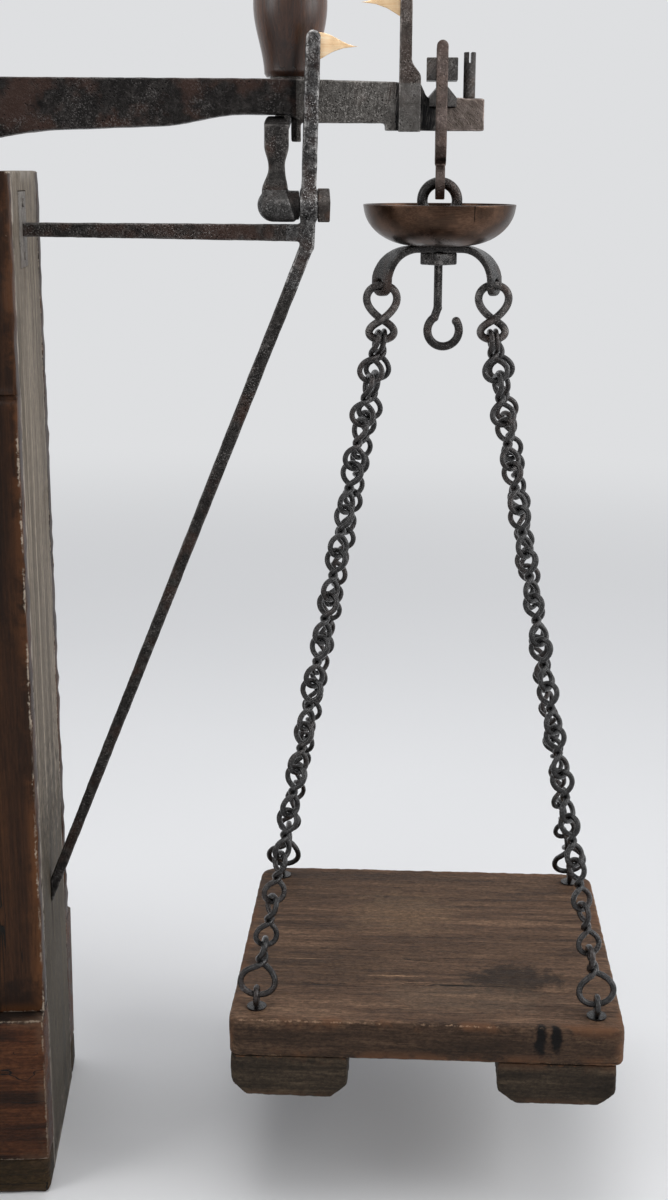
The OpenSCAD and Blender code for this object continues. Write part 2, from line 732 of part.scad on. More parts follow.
// Arrest lever, drawn round its pivot line
module arrest_lever() {
    reach = pivot_drop - beam_neck_depth - head_gap;
    half = head_w / 2;
    cam = [[-6, reach - 7], [0, reach - 4.3], [5, reach - 2.5], [10, reach - 1.3], [17, reach - 0.3],
        [24, reach]];
    front = concat([[-11, -4], [-11, 8]], [for (p = ease([10, -11], [26, -waist_w / 2], 5)) [p[1], p[0]]],
        [for (p = ease([28, -waist_w / 2], [42, -half], 5)) [p[1], p[0]]],
        [[-half, reach - head_round], [-half * 0.8, reach - head_round * 0.3], [-half * 0.5, reach + 1],
            [half * 0.5, reach + 1], [half * 0.8, reach - head_round * 0.3], [half, reach - head_round]],
        [for (p = ease([42, half], [28, waist_w / 2], 5)) [p[1], p[0]]],
        [for (p = ease([26, waist_w / 2], [10, 8], 5)) [p[1], p[0]]], [[8, -4]]);
    side = concat([[9, -4], [-9, -4], [-8, 10], [-6, 26]], cam, [[24, 42], [9, 24]]);
    color("#3a3230") difference() {
        union() {
            intersection() {
                translate([lever_x, 0, pivot_z]) side_plate(front, -40, 20);
                translate([0, -bracket_y, pivot_z]) end_plate(side, lever_x - 20, lever_x + 20);
            }
            difference() {
                round_x(boss_r, pivot_x - boss_len + boss_r, pivot_x - collar_len, -bracket_y, pivot_z);
                translate([pivot_x, 0, pivot_z]) side_plate([[-collar_len, -boss_r - 1], [1, -boss_r - 1],
                    [1, boss_r + 1], [-collar_len - boss_slant, boss_r + 1]], -bracket_y - 20, -bracket_y + 20);
            }
            round_x(boss_r - 1.5, pivot_x - boss_len + boss_r, pivot_x - bearing_clear, -bracket_y, pivot_z);
            translate([pivot_x - boss_len + boss_r, -bracket_y, pivot_z]) sphere(r = boss_r);
            lever_tang();
        }
        round_x(pivot_d / 2 + pivot_clear, pivot_x - boss_len + 10 - bearing_clear, pivot_x + 1,
            -bracket_y, pivot_z);
    }
}

module handle_ferrule() {
    color("gray") difference() {
        translate([handle_x, handle_y, pivot_z + 76]) cylinder(r1 = 8.5, r2 = handle_neck_d / 2 - 1, h = 16);
        lever_tang();
    }
}

module wooden_handle() {
    belly = handle_len * handle_belly;
    color("#5a2f20") translate([handle_x, handle_y, pivot_z + 92]) rotate_extrude()
        polygon(concat([[0, 0]],
            [for (p = ease([0, handle_neck_d / 2], [belly, handle_d / 2], 12)) [p[1], p[0]]],
            [for (i = [1:12]) [handle_d / 2 * cos(i * 7.5), belly + (handle_len - belly) * sin(i * 7.5)]]));
}

// Shackles and load rods
module shackle(x, bar_y, down) {
    middle = knife_z - down + bar_y;
    difference() {
        union() {
            for (s = [-1, 1])
                bar([x, middle], [x, knife_z + shackle_up - shackle_w / 2], shackle_w, shackle_w,
                    min(s * bar_y, s * (bar_y + shackle_t)), max(s * bar_y, s * (bar_y + shackle_t)));
            intersection() {
                difference() {
                    round_x(bar_y + shackle_t, x - shackle_w / 2, x + shackle_w / 2, 0, middle);
                    round_x(bar_y, x - shackle_w, x + shackle_w, 0, middle);
                }
                box(x - shackle_w, x + shackle_w, -bar_y * 2, bar_y * 2, middle - 60, middle);
            }
        }
        box(x - 2.2, x + 2.2, -bar_y - tenon_len, bar_y + tenon_len, knife_z + 4, knife_z + bearing_h - 4);
    }
}

module knife_bearing(x, bar_y, w) {
    color("slategray") {
        box(x - w / 2, x + w / 2, -bar_y, bar_y, knife_z + bearing_clear, knife_z + bearing_h);
        box(x - 2.2, x + 2.2, -bar_y - tenon_len, bar_y + tenon_len, knife_z + 4, knife_z + bearing_h - 4);
    }
}

module load_rod(x, edge) {
    rod_top = knife_z - shackle_down - shackle_t + 1;
    eye_z = edge - bearing_clear + rod_eye_r;
    color("#3a3230") {
        shackle(x, load_bar_y, shackle_down);
        difference() {
            union() {
                translate([x, 0, eye_z + rod_eye_r + rod_eye_w / 2])
                    cylinder(d = rod_d, h = rod_top - eye_z - rod_eye_r - rod_eye_w / 2);
                translate([x, rod_eye_t / 2, eye_z]) rotate([90, 0, 0])
                    cylinder(r = rod_eye_r + rod_eye_w, h = rod_eye_t);
            }
            translate([x, rod_eye_t, eye_z]) rotate([90, 0, 0]) cylinder(r = rod_eye_r, h = rod_eye_t * 2);
        }
    }
}

// Lower lever
module lower_lever() {
    nose_y = lever_nose_gap / 2;
    outer = lever_spread / 2;
    x0 = lever_fulcrum_x - 14;
    x1 = -long_arm - 32;
    x2 = -long_arm + 15;
    color("#3a3230") difference() {
        translate([0, 0, lever_z - lever_h / 2]) linear_extrude(height = lever_h) union() {
            for (s = [-1, 1])
                polygon([[x0, s * outer], [x1, s * (nose_y + lever_t)], [x2, s * (nose_y + lever_t)],
                    [x2, s * nose_y], [x1, s * nose_y], [x0, s * (outer - lever_t)]]);
            translate([x0 + lever_tie_at, -lever_tie_len / 2]) square([lever_tie_w, lever_tie_len]);
        }
        side_plate(edge_down(lever_fulcrum_x, lever_z, lever_h / 2 - 2), -half_depth, half_depth);
        side_plate(edge_down(-long_arm, lever_z, lever_h / 2 - 2), -half_depth, half_depth);
        side_plate(lever_edge_up(load_knife_x), -half_depth, half_depth);
    }
}

function lever_edge_up(x) = [for (p = edge_down(x, 0, lever_h / 2 - 2)) [p[0], lever_z - p[1]]];

module lever_fulcrum_knife() {
    color("slategray") side_plate(edge_down(lever_fulcrum_x, lever_z, lever_h / 2 - 2),
        -inner_y + 1, inner_y - 1);
}

module lever_load_knife() {
    color("slategray") side_plate(lever_edge_up(load_knife_x), -inner_y + 7, inner_y - 7);
}

module lever_end_knife() {
    half = lever_nose_gap / 2 + lever_t;
    color("slategray") side_plate(edge_down(-long_arm, lever_z, lever_h / 2 - 2), -half, half);
}

// Platform
module platform_side_beams() {
    color("peru") for (s = [-1, 1])
        box(platform_front, platform_back, min(s * frame_y, s * (frame_y - frame_beam_w)),
            max(s * frame_y, s * (frame_y - frame_beam_w)), frame_z, plank_z);
}

module cross_beam(x) {
    inner = frame_y - frame_beam_w;
    box(x - frame_beam_w / 2, x + frame_beam_w / 2, -inner, inner, frame_z, plank_z);
}

module platform_front_beam() {
    color("peru") cross_beam(platform_front + frame_beam_w / 2 + 2);
}

module platform_knife_beam() {
    color("peru") cross_beam(load_knife_x);
}

module platform_rear_beam() {
    color("peru") difference() {
        cross_beam(platform_back - frame_beam_w / 2 - 2);
        tongue_bars();
    }
}

module platform_planks() {
    pitch = (platform_w + plank_joint) / plank_count;
    color("peru") for (i = [0:plank_count - 1])
        box(platform_front, platform_back, -platform_w / 2 + i * pitch,
            -platform_w / 2 + (i + 1) * pitch - plank_joint, plank_z, plank_z + plank_t);
}

module backboard() {
    color("peru") box(platform_back - backboard_t, platform_back, -platform_w / 2, platform_w / 2,
        plank_z + plank_t, plank_z + plank_t + backboard_h);
}

module tongue_bars() {
    for (s = [-1, 1])
        box(load_knife_x + frame_beam_w / 2, -short_arm + 14, min(s * tongue_y, s * (tongue_y + tongue_t)),
            max(s * tongue_y, s * (tongue_y + tongue_t)), tongue_z, plank_z);
}

module tongue() {
    color("#3a3230") difference() {
        tongue_bars();
        side_plate(edge_down(-short_arm, tongue_knife_z, knife_h - 2), -half_depth, half_depth);
    }
}

module tongue_knife() {
    half = tongue_y + tongue_t;
    color("slategray") side_plate(edge_down(-short_arm, tongue_knife_z, knife_h - 2), -half, half);
}

module platform_bearings() {
    half = v_block_w / 2;
    outer = load_seat_y + load_seat_t;
    color("slategray") for (s = [-1, 1])
        difference() {
            box(load_knife_x - half, load_knife_x + half, min(s * load_seat_y, s * outer),
                max(s * load_seat_y, s * outer), lever_z - v_block_up, frame_z);
            side_plate([[load_knife_x, lever_z + bearing_clear],
                [load_knife_x + half - 1, lever_z - v_block_up - 1],
                [load_knife_x - half + 1, lever_z - v_block_up - 1]], -half_depth, half_depth);
        }
}

// Hanging pan: its stirrup has turned on the knife as far as the board has
module at_stirrup() {
    translate([weight_arm, 0, 0]) rotate([0, 0, pan_turn]) children();
}

module pan_stirrup() {
    color("#3a3230") at_stirrup() difference() {
        union() {
            shackle(0, pan_bar_y, stirrup_down);
            round_x(stirrup_eye_r, -stirrup_eye_t / 2, stirrup_eye_t / 2, 0, stirrup_eye_z);
        }
        round_x(stirrup_hole_r, -10, 10, 0, stirrup_eye_z);
    }
}

module eye_bolt() {
    color("#3a3230") translate([weight_arm, 0, 0]) {
        translate([0, 0, ring_z]) wire_ring(ring_r, ring_wire);
        translate([0, 0, nut_z + yoke_nut_t / 2])
            cylinder(d = stem_d, h = ring_z - ring_r - nut_z - yoke_nut_t / 2);
    }
}

// Quarter of an oval that runs up from the dish's flat bottom, set in from its outside
function dish_side(inset) = [for (i = [0:16]) [dish_flat + (dish_r - dish_flat - inset) * sin(i * 90 / 16),
    inset + (dish_h - inset) * (1 - cos(i * 90 / 16))]];

module tare_dish() {
    inside = dish_side(dish_t);
    color("#8a6a50") translate([weight_arm, 0, dish_z]) rotate_extrude($fn = 96)
        polygon(concat([[stem_d / 2, dish_t], [stem_d / 2, 0]], dish_side(0),
            [for (i = [0:16]) inside[16 - i]]));
}

module yoke() {
    centre = dish_z - yoke_bend_r;
    foot = yoke_hole_z - yoke_w / 2 - 1;
    inner = yoke_bend_r - yoke_t;
    arch = concat([[-yoke_half, foot]], arc([-yoke_flat, centre], yoke_bend_r, 180, 90),
        arc([yoke_flat, centre], yoke_bend_r, 90, 0), [[yoke_half, foot], [yoke_half - yoke_t, foot]],
        arc([yoke_flat, centre], inner, 0, 90), arc([-yoke_flat, centre], inner, 90, 180),
        [[-yoke_half + yoke_t, foot]]);
    color("#3a3230") translate([weight_arm, 0, 0]) difference() {
        intersection() {
            side_plate(arch, -yoke_w, yoke_w);
            union() {
                box(-100, 100, -yoke_w / 2, yoke_w / 2, yoke_hole_z, dish_z + 1);
                round_x(yoke_w / 2, -100, 100, 0, yoke_hole_z);
            }
        }
        round_x(yoke_hole_r, -100, 100, 0, yoke_hole_z);
        translate([0, 0, dish_z - 20]) cylinder(d = stem_d, h = 30);
    }
}

module square_nut() {
    color("#3a3230") translate([weight_arm, 0, nut_z]) difference() {
        rotate([0, 0, yoke_nut_turn]) translate([-yoke_nut_w / 2, -yoke_nut_w / 2, 0])
            cube([yoke_nut_w, yoke_nut_w, yoke_nut_t]);
        translate([0, 0, yoke_nut_t / 2]) cylinder(d = stem_d, h = yoke_nut_t);
        translate([0, 0, -1]) cylinder(d = hook_d, h = yoke_nut_t / 2 + 1);
    }
}

module hook() {
    centre = [4.5, nut_z - hook_drop];
    from = 125;
    start = centre + hook_r * [cos(from), sin(from)];
    neck = [0, start[1] + 7];
    knuckle_d = hook_d + 0.4;
    color("#3a3230") translate([weight_arm, 0, 0]) {
        translate([0, 0, neck[1]]) cylinder(d = hook_d, h = nut_z + yoke_nut_t / 2 - neck[1]);
        translate([0, 0, neck[1]]) sphere(d = knuckle_d);
        translate([start[0], 0, start[1]]) rotate([0, atan2(neck[0] - start[0], neck[1] - start[1]), 0])
            cylinder(d = hook_d, h = norm(neck - start));
        translate([start[0], 0, start[1]]) sphere(d = knuckle_d);
        translate([centre[0], 0, centre[1]]) rotate([90, 0, 0]) rotate([0, 0, from])
            rotate_extrude(angle = 270) translate([hook_r, 0]) circle(d = hook_d, $fn = 24);
        translate([centre[0] + hook_r * cos(from + 270), 0, centre[1] + hook_r * sin(from + 270)])
            sphere(d = knuckle_d);
    }
}

// Chains
module top_links() {
    color("#2e2a28") for (s = [-1, 1])
        translate([weight_arm + s * link_hang_x, 0, 0]) {
            translate([0, 0, top_upper_z]) wire_ring(top_upper_r, top_wire);
            translate([0, 0, top_lower_z]) wire_ring(top_lower_r, top_wire);
        }
}

// Figure-eight link: starts at the middle of its upper wire and runs along +Z, its second loop a quarter turned
module twisted_link(upper, lower, neck, wire) {
    translate([0, 0, upper]) wire_ring(upper, wire);
    translate([0, 0, 2 * upper + neck + lower]) rotate([0, 0, 90]) wire_ring(lower, wire);
}

// One chain, from a top link to the eye on its side of the board; two chains hang side by side in a top link
module chain(sx, sy) {
    corner = turned([sx * eye_x, sy * eye_y], pan_turn);
    from = [weight_arm + sx * link_hang_x + sy * start_x, 0, start_z];
    eye = [weight_arm + corner[0], corner[1], pan_top + eye_up];
    d = eye - from;
    slack = (norm(d) + end_grip - chain_span) / link_count;
    azimuth = atan2(d[1], d[0]);
    translate(from) rotate([0, acos(d[2] / norm(d)), azimuth]) rotate([0, 0, azimuth + 90]) {
        for (i = [0:link_count - 1])
            translate([0, 0, i * (link_pitch + slack)])
                twisted_link(link_r, link_r, link_neck + slack, link_wire);
        translate([0, 0, end_from + link_count * slack])
            twisted_link(end_small_r, end_large_r, end_neck, end_wire);
    }
}

module chain_pair(sy) {
    color("#2e2a28") for (sx = [-1, 1]) chain(sx, sy);
}

// Weight board
module at_board() {
    translate([weight_arm, 0, pan_top]) rotate([0, 0, pan_turn]) children();
}

module at_eyes() {
    for (sx = [-1, 1], sy = [-1, 1]) translate([sx * eye_x, sy * eye_y, 0]) children();
}

module board_eyes() {
    color("#2e2a28") at_board() at_eyes() {
        cylinder(d = 15, h = eye_washer_t);
        translate([0, 0, -12]) cylinder(d = eye_wire, h = 13);
        translate([0, 0, eye_washer_t + eye_wire / 2 + eye_r - 0.8]) rotate([0, 0, 90])
            wire_ring(eye_r, eye_wire);
    }
}

module board_outline() {
    half_x = pan_len / 2;
    half_y = pan_w / 2;
    translate([-half_x, -half_y + pan_corner]) square([pan_len, pan_w - pan_corner - pan_far_corner]);
    translate([-half_x + pan_corner, -half_y]) square([pan_len - 2 * pan_corner, pan_corner + 1]);
    translate([-half_x + pan_far_corner, half_y - pan_far_corner - 1])
        square([pan_len - 2 * pan_far_corner, pan_far_corner + 1]);
    for (s = [-1, 1]) {
        translate([s * (half_x - pan_corner), -half_y + pan_corner]) circle(r = pan_corner);
        translate([s * (half_x - pan_far_corner), half_y - pan_far_corner]) circle(r = pan_far_corner);
    }
}

module weight_board() {
    color("#4a3a2e") at_board() difference() {
        translate([0, 0, -pan_t]) linear_extrude(height = pan_t) board_outline();
        at_eyes() translate([0, 0, -12]) cylinder(d = eye_wire, h = 13);
    }
}

module cleats() {
    half = cleat_w / 2;
    outline = [[-half, 0], [half, 0], [half, cleat_chamfer - cleat_h], [half - cleat_chamfer * 1.2, -cleat_h],
        [-half + cleat_chamfer * 1.2, -cleat_h], [-half, cleat_chamfer - cleat_h]];
    color("#4a3a2e") at_board() intersection() {
        union() for (x = [-cleat_left_at, cleat_right_at])
            translate([x, 0, -pan_t]) side_plate(outline, -pan_w / 2, pan_w / 2);
        translate([0, 0, -pan_t - cleat_h - 1]) linear_extrude(height = cleat_h + 1) board_outline();
    }
}

sills();
sill_ties();
front_foot();
rail(-1);  // rail_near
rail(1);  // rail_far
front_board();
column_right_board();
column_left_board();
column_face_board(-1);  // column_near_board
column_face_board(1);  // column_far_board
column_cap();
wall_plate();
bracket();
fixed_pointer();
pivot_bolt();
pivot_nut();
fulcrum_stand();
main_bearings();
lever_bearings();
beam();
main_knife();
beam_knife(-short_arm, beam_t / 2);  // platform_rod_knife
beam_knife(-long_arm, beam_t / 2);  // lever_rod_knife
beam_knife(weight_arm, end_y);  // pan_knife
pointer_bar();
moving_pointer();
end_stud();
arrest_lever();
handle_ferrule();
wooden_handle();
load_rod(-short_arm, tongue_knife_z);  // platform_rod
knife_bearing(-short_arm, load_bar_y, load_bearing_w);  // platform_rod_bearing
load_rod(-long_arm, lever_z);  // lever_rod
knife_bearing(-long_arm, load_bar_y, load_bearing_w);  // lever_rod_bearing
lower_lever();
lever_fulcrum_knife();
lever_load_knife();
lever_end_knife();
platform_side_beams();
platform_front_beam();
platform_knife_beam();
platform_rear_beam();
platform_planks();
backboard();
tongue();
tongue_knife();
platform_bearings();
pan_stirrup();
at_stirrup() knife_bearing(0, pan_bar_y, bearing_w);  // pan_bearing
eye_bolt();
tare_dish();
yoke();
square_nut();
hook();
top_links();
chain_pair(-1);  // chains_near
chain_pair(1);  // chains_far
board_eyes();
weight_board();
cleats();
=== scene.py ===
import json
import math

import bpy
from mathutils import Matrix, Vector

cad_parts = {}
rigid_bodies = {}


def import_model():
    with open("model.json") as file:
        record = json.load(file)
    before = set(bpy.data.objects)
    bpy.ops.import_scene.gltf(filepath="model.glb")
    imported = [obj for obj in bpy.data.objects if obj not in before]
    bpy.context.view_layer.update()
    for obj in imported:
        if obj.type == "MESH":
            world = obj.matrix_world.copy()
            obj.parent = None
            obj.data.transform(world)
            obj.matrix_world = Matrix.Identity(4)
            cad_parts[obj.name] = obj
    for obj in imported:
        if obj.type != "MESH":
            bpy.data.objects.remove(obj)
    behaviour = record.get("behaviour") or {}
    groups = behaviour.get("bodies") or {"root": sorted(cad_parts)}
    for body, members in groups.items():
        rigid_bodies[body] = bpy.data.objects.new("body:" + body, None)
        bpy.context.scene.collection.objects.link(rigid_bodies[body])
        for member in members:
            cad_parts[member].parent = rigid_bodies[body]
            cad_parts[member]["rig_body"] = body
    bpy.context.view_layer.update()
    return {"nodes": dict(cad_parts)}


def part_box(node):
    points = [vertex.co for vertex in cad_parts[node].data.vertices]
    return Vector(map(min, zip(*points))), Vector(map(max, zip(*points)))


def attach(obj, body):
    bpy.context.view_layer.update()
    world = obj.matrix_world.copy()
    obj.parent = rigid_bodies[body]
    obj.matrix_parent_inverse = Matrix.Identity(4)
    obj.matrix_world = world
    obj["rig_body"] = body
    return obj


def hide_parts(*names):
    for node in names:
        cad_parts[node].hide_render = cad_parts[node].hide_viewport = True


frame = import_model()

nodes = frame["nodes"]


# Sills, ties and front foot: square timbers that lie on the floor and carry the whole scale.
# Brown, unplaned and cracked, with edges rubbed round by years on stone floors.
ALONG_X, ALONG_Y, ALONG_Z = 0, 1, 2
FOOT_TONES = ((0.018, 0.0115, 0.005), (0.042, 0.027, 0.012), (0.075, 0.05, 0.024))
FOOT_RUBBED = (0.12, 0.072, 0.04)


def only(piece):
    """Selects one object alone."""
    bpy.ops.object.select_all(action="DESELECT")
    piece.select_set(True)
    bpy.context.view_layer.objects.active = piece


def cut_to(node, name):
    """A piece of its own with the shape of a CAD node, its loose triangles joined to whole faces."""
    piece = bpy.data.objects.new(name, nodes[node].data.copy())
    bpy.context.scene.collection.objects.link(piece)
    piece.data.materials.clear()
    only(piece)
    bpy.ops.object.mode_set(mode="EDIT")
    bpy.ops.mesh.select_all(action="SELECT")
    bpy.ops.mesh.remove_doubles(threshold=0.00002)
    bpy.ops.mesh.dissolve_limited(angle_limit=math.radians(1))
    bpy.ops.object.mode_set(mode="OBJECT")
    return piece


def add_modifier(piece, kind, **settings):
    """Puts a modifier on a piece and applies it at once."""
    made = piece.modifiers.new(kind.title(), kind)
    for name, value in settings.items():
        setattr(made, name, value)
    only(piece)
    bpy.ops.object.modifier_apply(modifier=made.name)


def smooth(piece, angle=40):
    """Shades a piece smooth but keeps its sharp edges."""
    only(piece)
    bpy.ops.object.shade_smooth_by_angle(angle=math.radians(angle))


def choose(piece, wanted):
    """Selects a piece's vertices that pass a test, and leaves it in edit mode."""
    only(piece)
    bpy.ops.object.mode_set(mode="EDIT")
    bpy.ops.mesh.select_mode(type="VERT")
    bpy.ops.mesh.select_all(action="DESELECT")
    bpy.ops.object.mode_set(mode="OBJECT")
    for vertex in piece.data.vertices:
        vertex.select = wanted(vertex)
    bpy.ops.object.mode_set(mode="EDIT")


def rub_edges(piece, edge, chip, seed):
    """Rounds a piece's edges and lets them wander by about a chip's depth."""
    add_modifier(piece, "BEVEL", width=edge, segments=2, limit_method="ANGLE",
                 angle_limit=math.radians(35), use_clamp_overlap=False)
    choose(piece, lambda vertex: max(abs(side) for side in vertex.normal) < 0.985)
    bpy.ops.transform.vertex_random(offset=chip, uniform=0.0, normal=0.0, seed=seed)
    bpy.ops.object.mode_set(mode="OBJECT")


def worn_timber(node, grain, edge=0.0016, chip=0.0007, every=0.014, seed=1):
    """A timber with its CAD node's shape, sliced across the grain so that its worn edges can wander."""
    piece = cut_to(node, node + "_timber")
    low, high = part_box(node)
    slices = max(2, round((high[grain] - low[grain]) / every))
    normal = Vector((0, 0, 0))
    normal[grain] = 1
    only(piece)
    bpy.ops.object.mode_set(mode="EDIT")
    for i in range(1, slices):
        place = low.lerp(high, i / slices)
        bpy.ops.mesh.select_all(action="SELECT")
        bpy.ops.mesh.bisect(plane_co=place, plane_no=normal)
    bpy.ops.object.mode_set(mode="OBJECT")
    rub_edges(piece, edge, chip, seed)
    smooth(piece)
    return piece


def step(tree, kind, inputs, **settings):
    """Adds one shader node; an input is a value or another node's socket."""
    made = tree.nodes.new("ShaderNode" + kind)
    for name, value in settings.items():
        setattr(made, name, value)
    for name, value in inputs.items():
        if isinstance(value, bpy.types.NodeSocket):
            tree.links.new(value, made.inputs[name])
        else:
            made.inputs[name].default_value = value
    return made


def sums(tree, operation, a, b=0.0):
    """Works out one sum of two values or sockets."""
    return step(tree, "Math", {0: a, 1: b}, operation=operation).outputs[0]


def times(tree, a, b):
    """Multiplies two values or sockets."""
    return sums(tree, "MULTIPLY", a, b)


def plus(tree, a, b):
    """Adds two values or sockets."""
    return sums(tree, "ADD", a, b)


def less(tree, a, b):
    """Takes the second value or socket from the first."""
    return sums(tree, "SUBTRACT", a, b)


def cloud(tree, place, scale, detail=4.0, rough=0.55, distortion=0.0):
    """Soft noise from 0 to 1."""
    return step(tree, "TexNoise", {"Vector": place, "Scale": scale, "Detail": detail, "Roughness": rough,
                                   "Distortion": distortion}).outputs["Fac"]


def fade(tree, value, start, end, low=0.0, high=1.0):
    """Goes from low to high while value goes from start to end."""
    return step(tree, "MapRange", {"Value": value, "From Min": start, "From Max": end, "To Min": low,
                                   "To Max": high}, interpolation_type="SMOOTHSTEP").outputs["Result"]


def tones(tree, value, start, end, colours):
    """Runs through colours while value goes from start to end."""
    made = step(tree, "ValToRGB", {"Fac": value})
    ramp = made.color_ramp
    while len(ramp.elements) < len(colours):
        ramp.elements.new(0.5)
    for i, colour in enumerate(colours):
        ramp.elements[i].position = start + (end - start) * i / (len(colours) - 1)
        ramp.elements[i].color = (*colour, 1)
    return made.outputs["Color"]


def coat(tree, amount, under, over, blend="MIX"):
    """Lays one colour over another by an amount."""
    made = tree.nodes.new("ShaderNodeMix")
    made.data_type = "RGBA"
    made.blend_type = blend
    for socket, value in ((0, amount), (6, under), (7, over)):
        if isinstance(value, bpy.types.NodeSocket):
            tree.links.new(value, made.inputs[socket])
        elif socket == 0:
            made.inputs[socket].default_value = value
        else:
            made.inputs[socket].default_value = (*value, 1)
    return made.outputs[2]


def edge_gap(tree, place, low, high):
    """Distance in metres from a point on a box to the box's nearest edge."""
    middle = (Vector(low) + Vector(high)) / 2
    half = (Vector(high) - Vector(low)) / 2
    off = step(tree, "VectorMath", {0: place, 1: middle}, operation="SUBTRACT").outputs[0]
    size = step(tree, "VectorMath", {0: off}, operation="ABSOLUTE").outputs[0]
    inside = step(tree, "VectorMath", {0: half, 1: size}, operation="SUBTRACT").outputs[0]
    part = step(tree, "SeparateXYZ", {0: inside}).outputs
    lesser = sums(tree, "MINIMUM", part[0], part[1])
    greater = sums(tree, "MAXIMUM", part[0], part[1])
    return sums(tree, "MAXIMUM", lesser, sums(tree, "MINIMUM", greater, part[2]))


def spot(tree, place, centre, size):
    """A ragged patch round a place: 1 inside, 0 outside."""
    off = step(tree, "VectorMath", {0: place, 1: centre}, operation="SUBTRACT").outputs[0]
    share = step(tree, "VectorMath", {0: off, 1: size}, operation="DIVIDE").outputs[0]
    reach = step(tree, "VectorMath", {0: share}, operation="LENGTH").outputs["Value"]
    fray = less(tree, cloud(tree, place, 120, 4, 0.65), 0.5)
    ragged = plus(tree, reach, times(tree, fray, 1.6))
    return fade(tree, ragged, 0.45, 1.0, 1, 0)


def timber(name, grain, shades, rubbed, box, seed, cracks=0.008, stain=0.6, gloss=0.62, wear=0.003,
           chipped=None, chips=0.6, marks=(), turned=None, streaks=(2.2, 42), fibres=(14, 620), worn=0.8,
           grit=0.35):
    """Old wood: grain, fibres, drying cracks, stains, rubbed and chipped edges, and marks at given places."""
    material = bpy.data.materials.new(name)
    material.use_nodes = True
    tree = material.node_tree
    skin = tree.nodes["Principled BSDF"]
    place = step(tree, "TexCoord", {}).outputs["Object"]
    if turned is not None:
        place = step(tree, "Mapping", {"Vector": place, "Rotation": (0, 0, turned[0]),
                                       "Location": turned[1]}).outputs[0]

    def drawn(along, across):
        """Places drawn out along the grain."""
        scale = [across] * 3
        scale[grain] = along
        return step(tree, "Mapping", {"Vector": place, "Location": (seed, seed * 0.7, seed * 1.3),
                                      "Scale": scale}).outputs[0]

    broad = cloud(tree, drawn(*streaks), 1.0, 6, 0.62, 0.6)
    fibre = cloud(tree, drawn(*fibres), 1.0, 4, 0.6)
    blotch = cloud(tree, drawn(5, 11), 1.0, 4, 0.6)
    ridge = sums(tree, "ABSOLUTE", less(tree, cloud(tree, drawn(1.1, 62), 1.0, 2, 0.5, 0.3), 0.5))
    crack = times(tree, fade(tree, ridge, cracks * 0.3, cracks, 1, 0),
                 fade(tree, cloud(tree, drawn(3, 9), 1.0, 2), 0.45, 0.6))
    colour = tones(tree, broad, 0.34, 0.66, shades)
    thread = tones(tree, fibre, 0.34, 0.62, ((0.62, 0.6, 0.58), (1.14, 1.12, 1.1)))
    colour = coat(tree, 1.0, colour, thread, "MULTIPLY")
    colour = coat(tree, times(tree, fade(tree, blotch, 0.5, 0.68), stain), colour,
                  tuple(tone * 0.55 for tone in shades[0]))
    for centre, size, paint, amount in marks:
        colour = coat(tree, times(tree, spot(tree, place, centre, size), amount), colour, paint)
    speck = cloud(tree, drawn(fibres[0] * 9, fibres[1] * 0.8), 1.0, 4, 0.7)
    sand = tones(tree, speck, 0.36, 0.64, ((0.5, 0.48, 0.46), (1.5, 1.42, 1.3)))
    colour = coat(tree, grit, colour, sand, "MULTIPLY")
    near = edge_gap(tree, place, *box)
    glow = times(tree, fade(tree, near, 0, wear * 3.2, worn, 0),
                 fade(tree, cloud(tree, place, 27, 5, 0.66), 0.45, 0.6))
    colour = coat(tree, glow, colour, rubbed)
    fray = less(tree, cloud(tree, place, 330, 3, 0.7), 0.5)
    frayed = plus(tree, near, times(tree, fray, 0.006))
    chip = times(tree, fade(tree, frayed, wear * 0.1, wear * 0.4, chips, 0),
                fade(tree, cloud(tree, place, 21, 4, 0.6), 0.42, 0.52))
    colour = coat(tree, chip, colour, chipped or rubbed)
    colour = coat(tree, crack, colour, (0.006, 0.005, 0.004))
    relief = plus(tree, times(tree, broad, 0.5), times(tree, fibre, 0.45))
    relief = plus(tree, less(tree, relief, crack), times(tree, speck, grit))
    bump = step(tree, "Bump", {"Strength": 0.8, "Distance": 0.0012, "Height": relief})
    tree.links.new(bump.outputs["Normal"], skin.inputs["Normal"])
    tree.links.new(colour, skin.inputs["Base Color"])
    tree.links.new(fade(tree, broad, 0.3, 0.7, gloss - 0.06, gloss + 0.14), skin.inputs["Roughness"])
    skin.inputs["Specular IOR Level"].default_value = 0.16
    return material


def stand_for(piece, node, slot, *materials):
    """A finished piece takes the place of its CAD node and rides on that node's body."""
    for material in materials:
        piece.data.materials.append(material)
    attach(piece, nodes[node]["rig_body"])
    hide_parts(node)


for node, grain, seed in (("sills", ALONG_X, 3), ("sill_ties", ALONG_Y, 5), ("front_foot", ALONG_Y, 8)):
    timber_piece = worn_timber(node, grain, edge=0.0045, chip=0.001, seed=seed)
    oak = timber(node + "_oak", grain, FOOT_TONES, FOOT_RUBBED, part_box(node), seed, cracks=0.014, worn=0.4,
                 streaks=(6, 70), fibres=(26, 600), grit=0.9, chips=0.25)
    stand_for(timber_piece, node, "column_wood", oak)


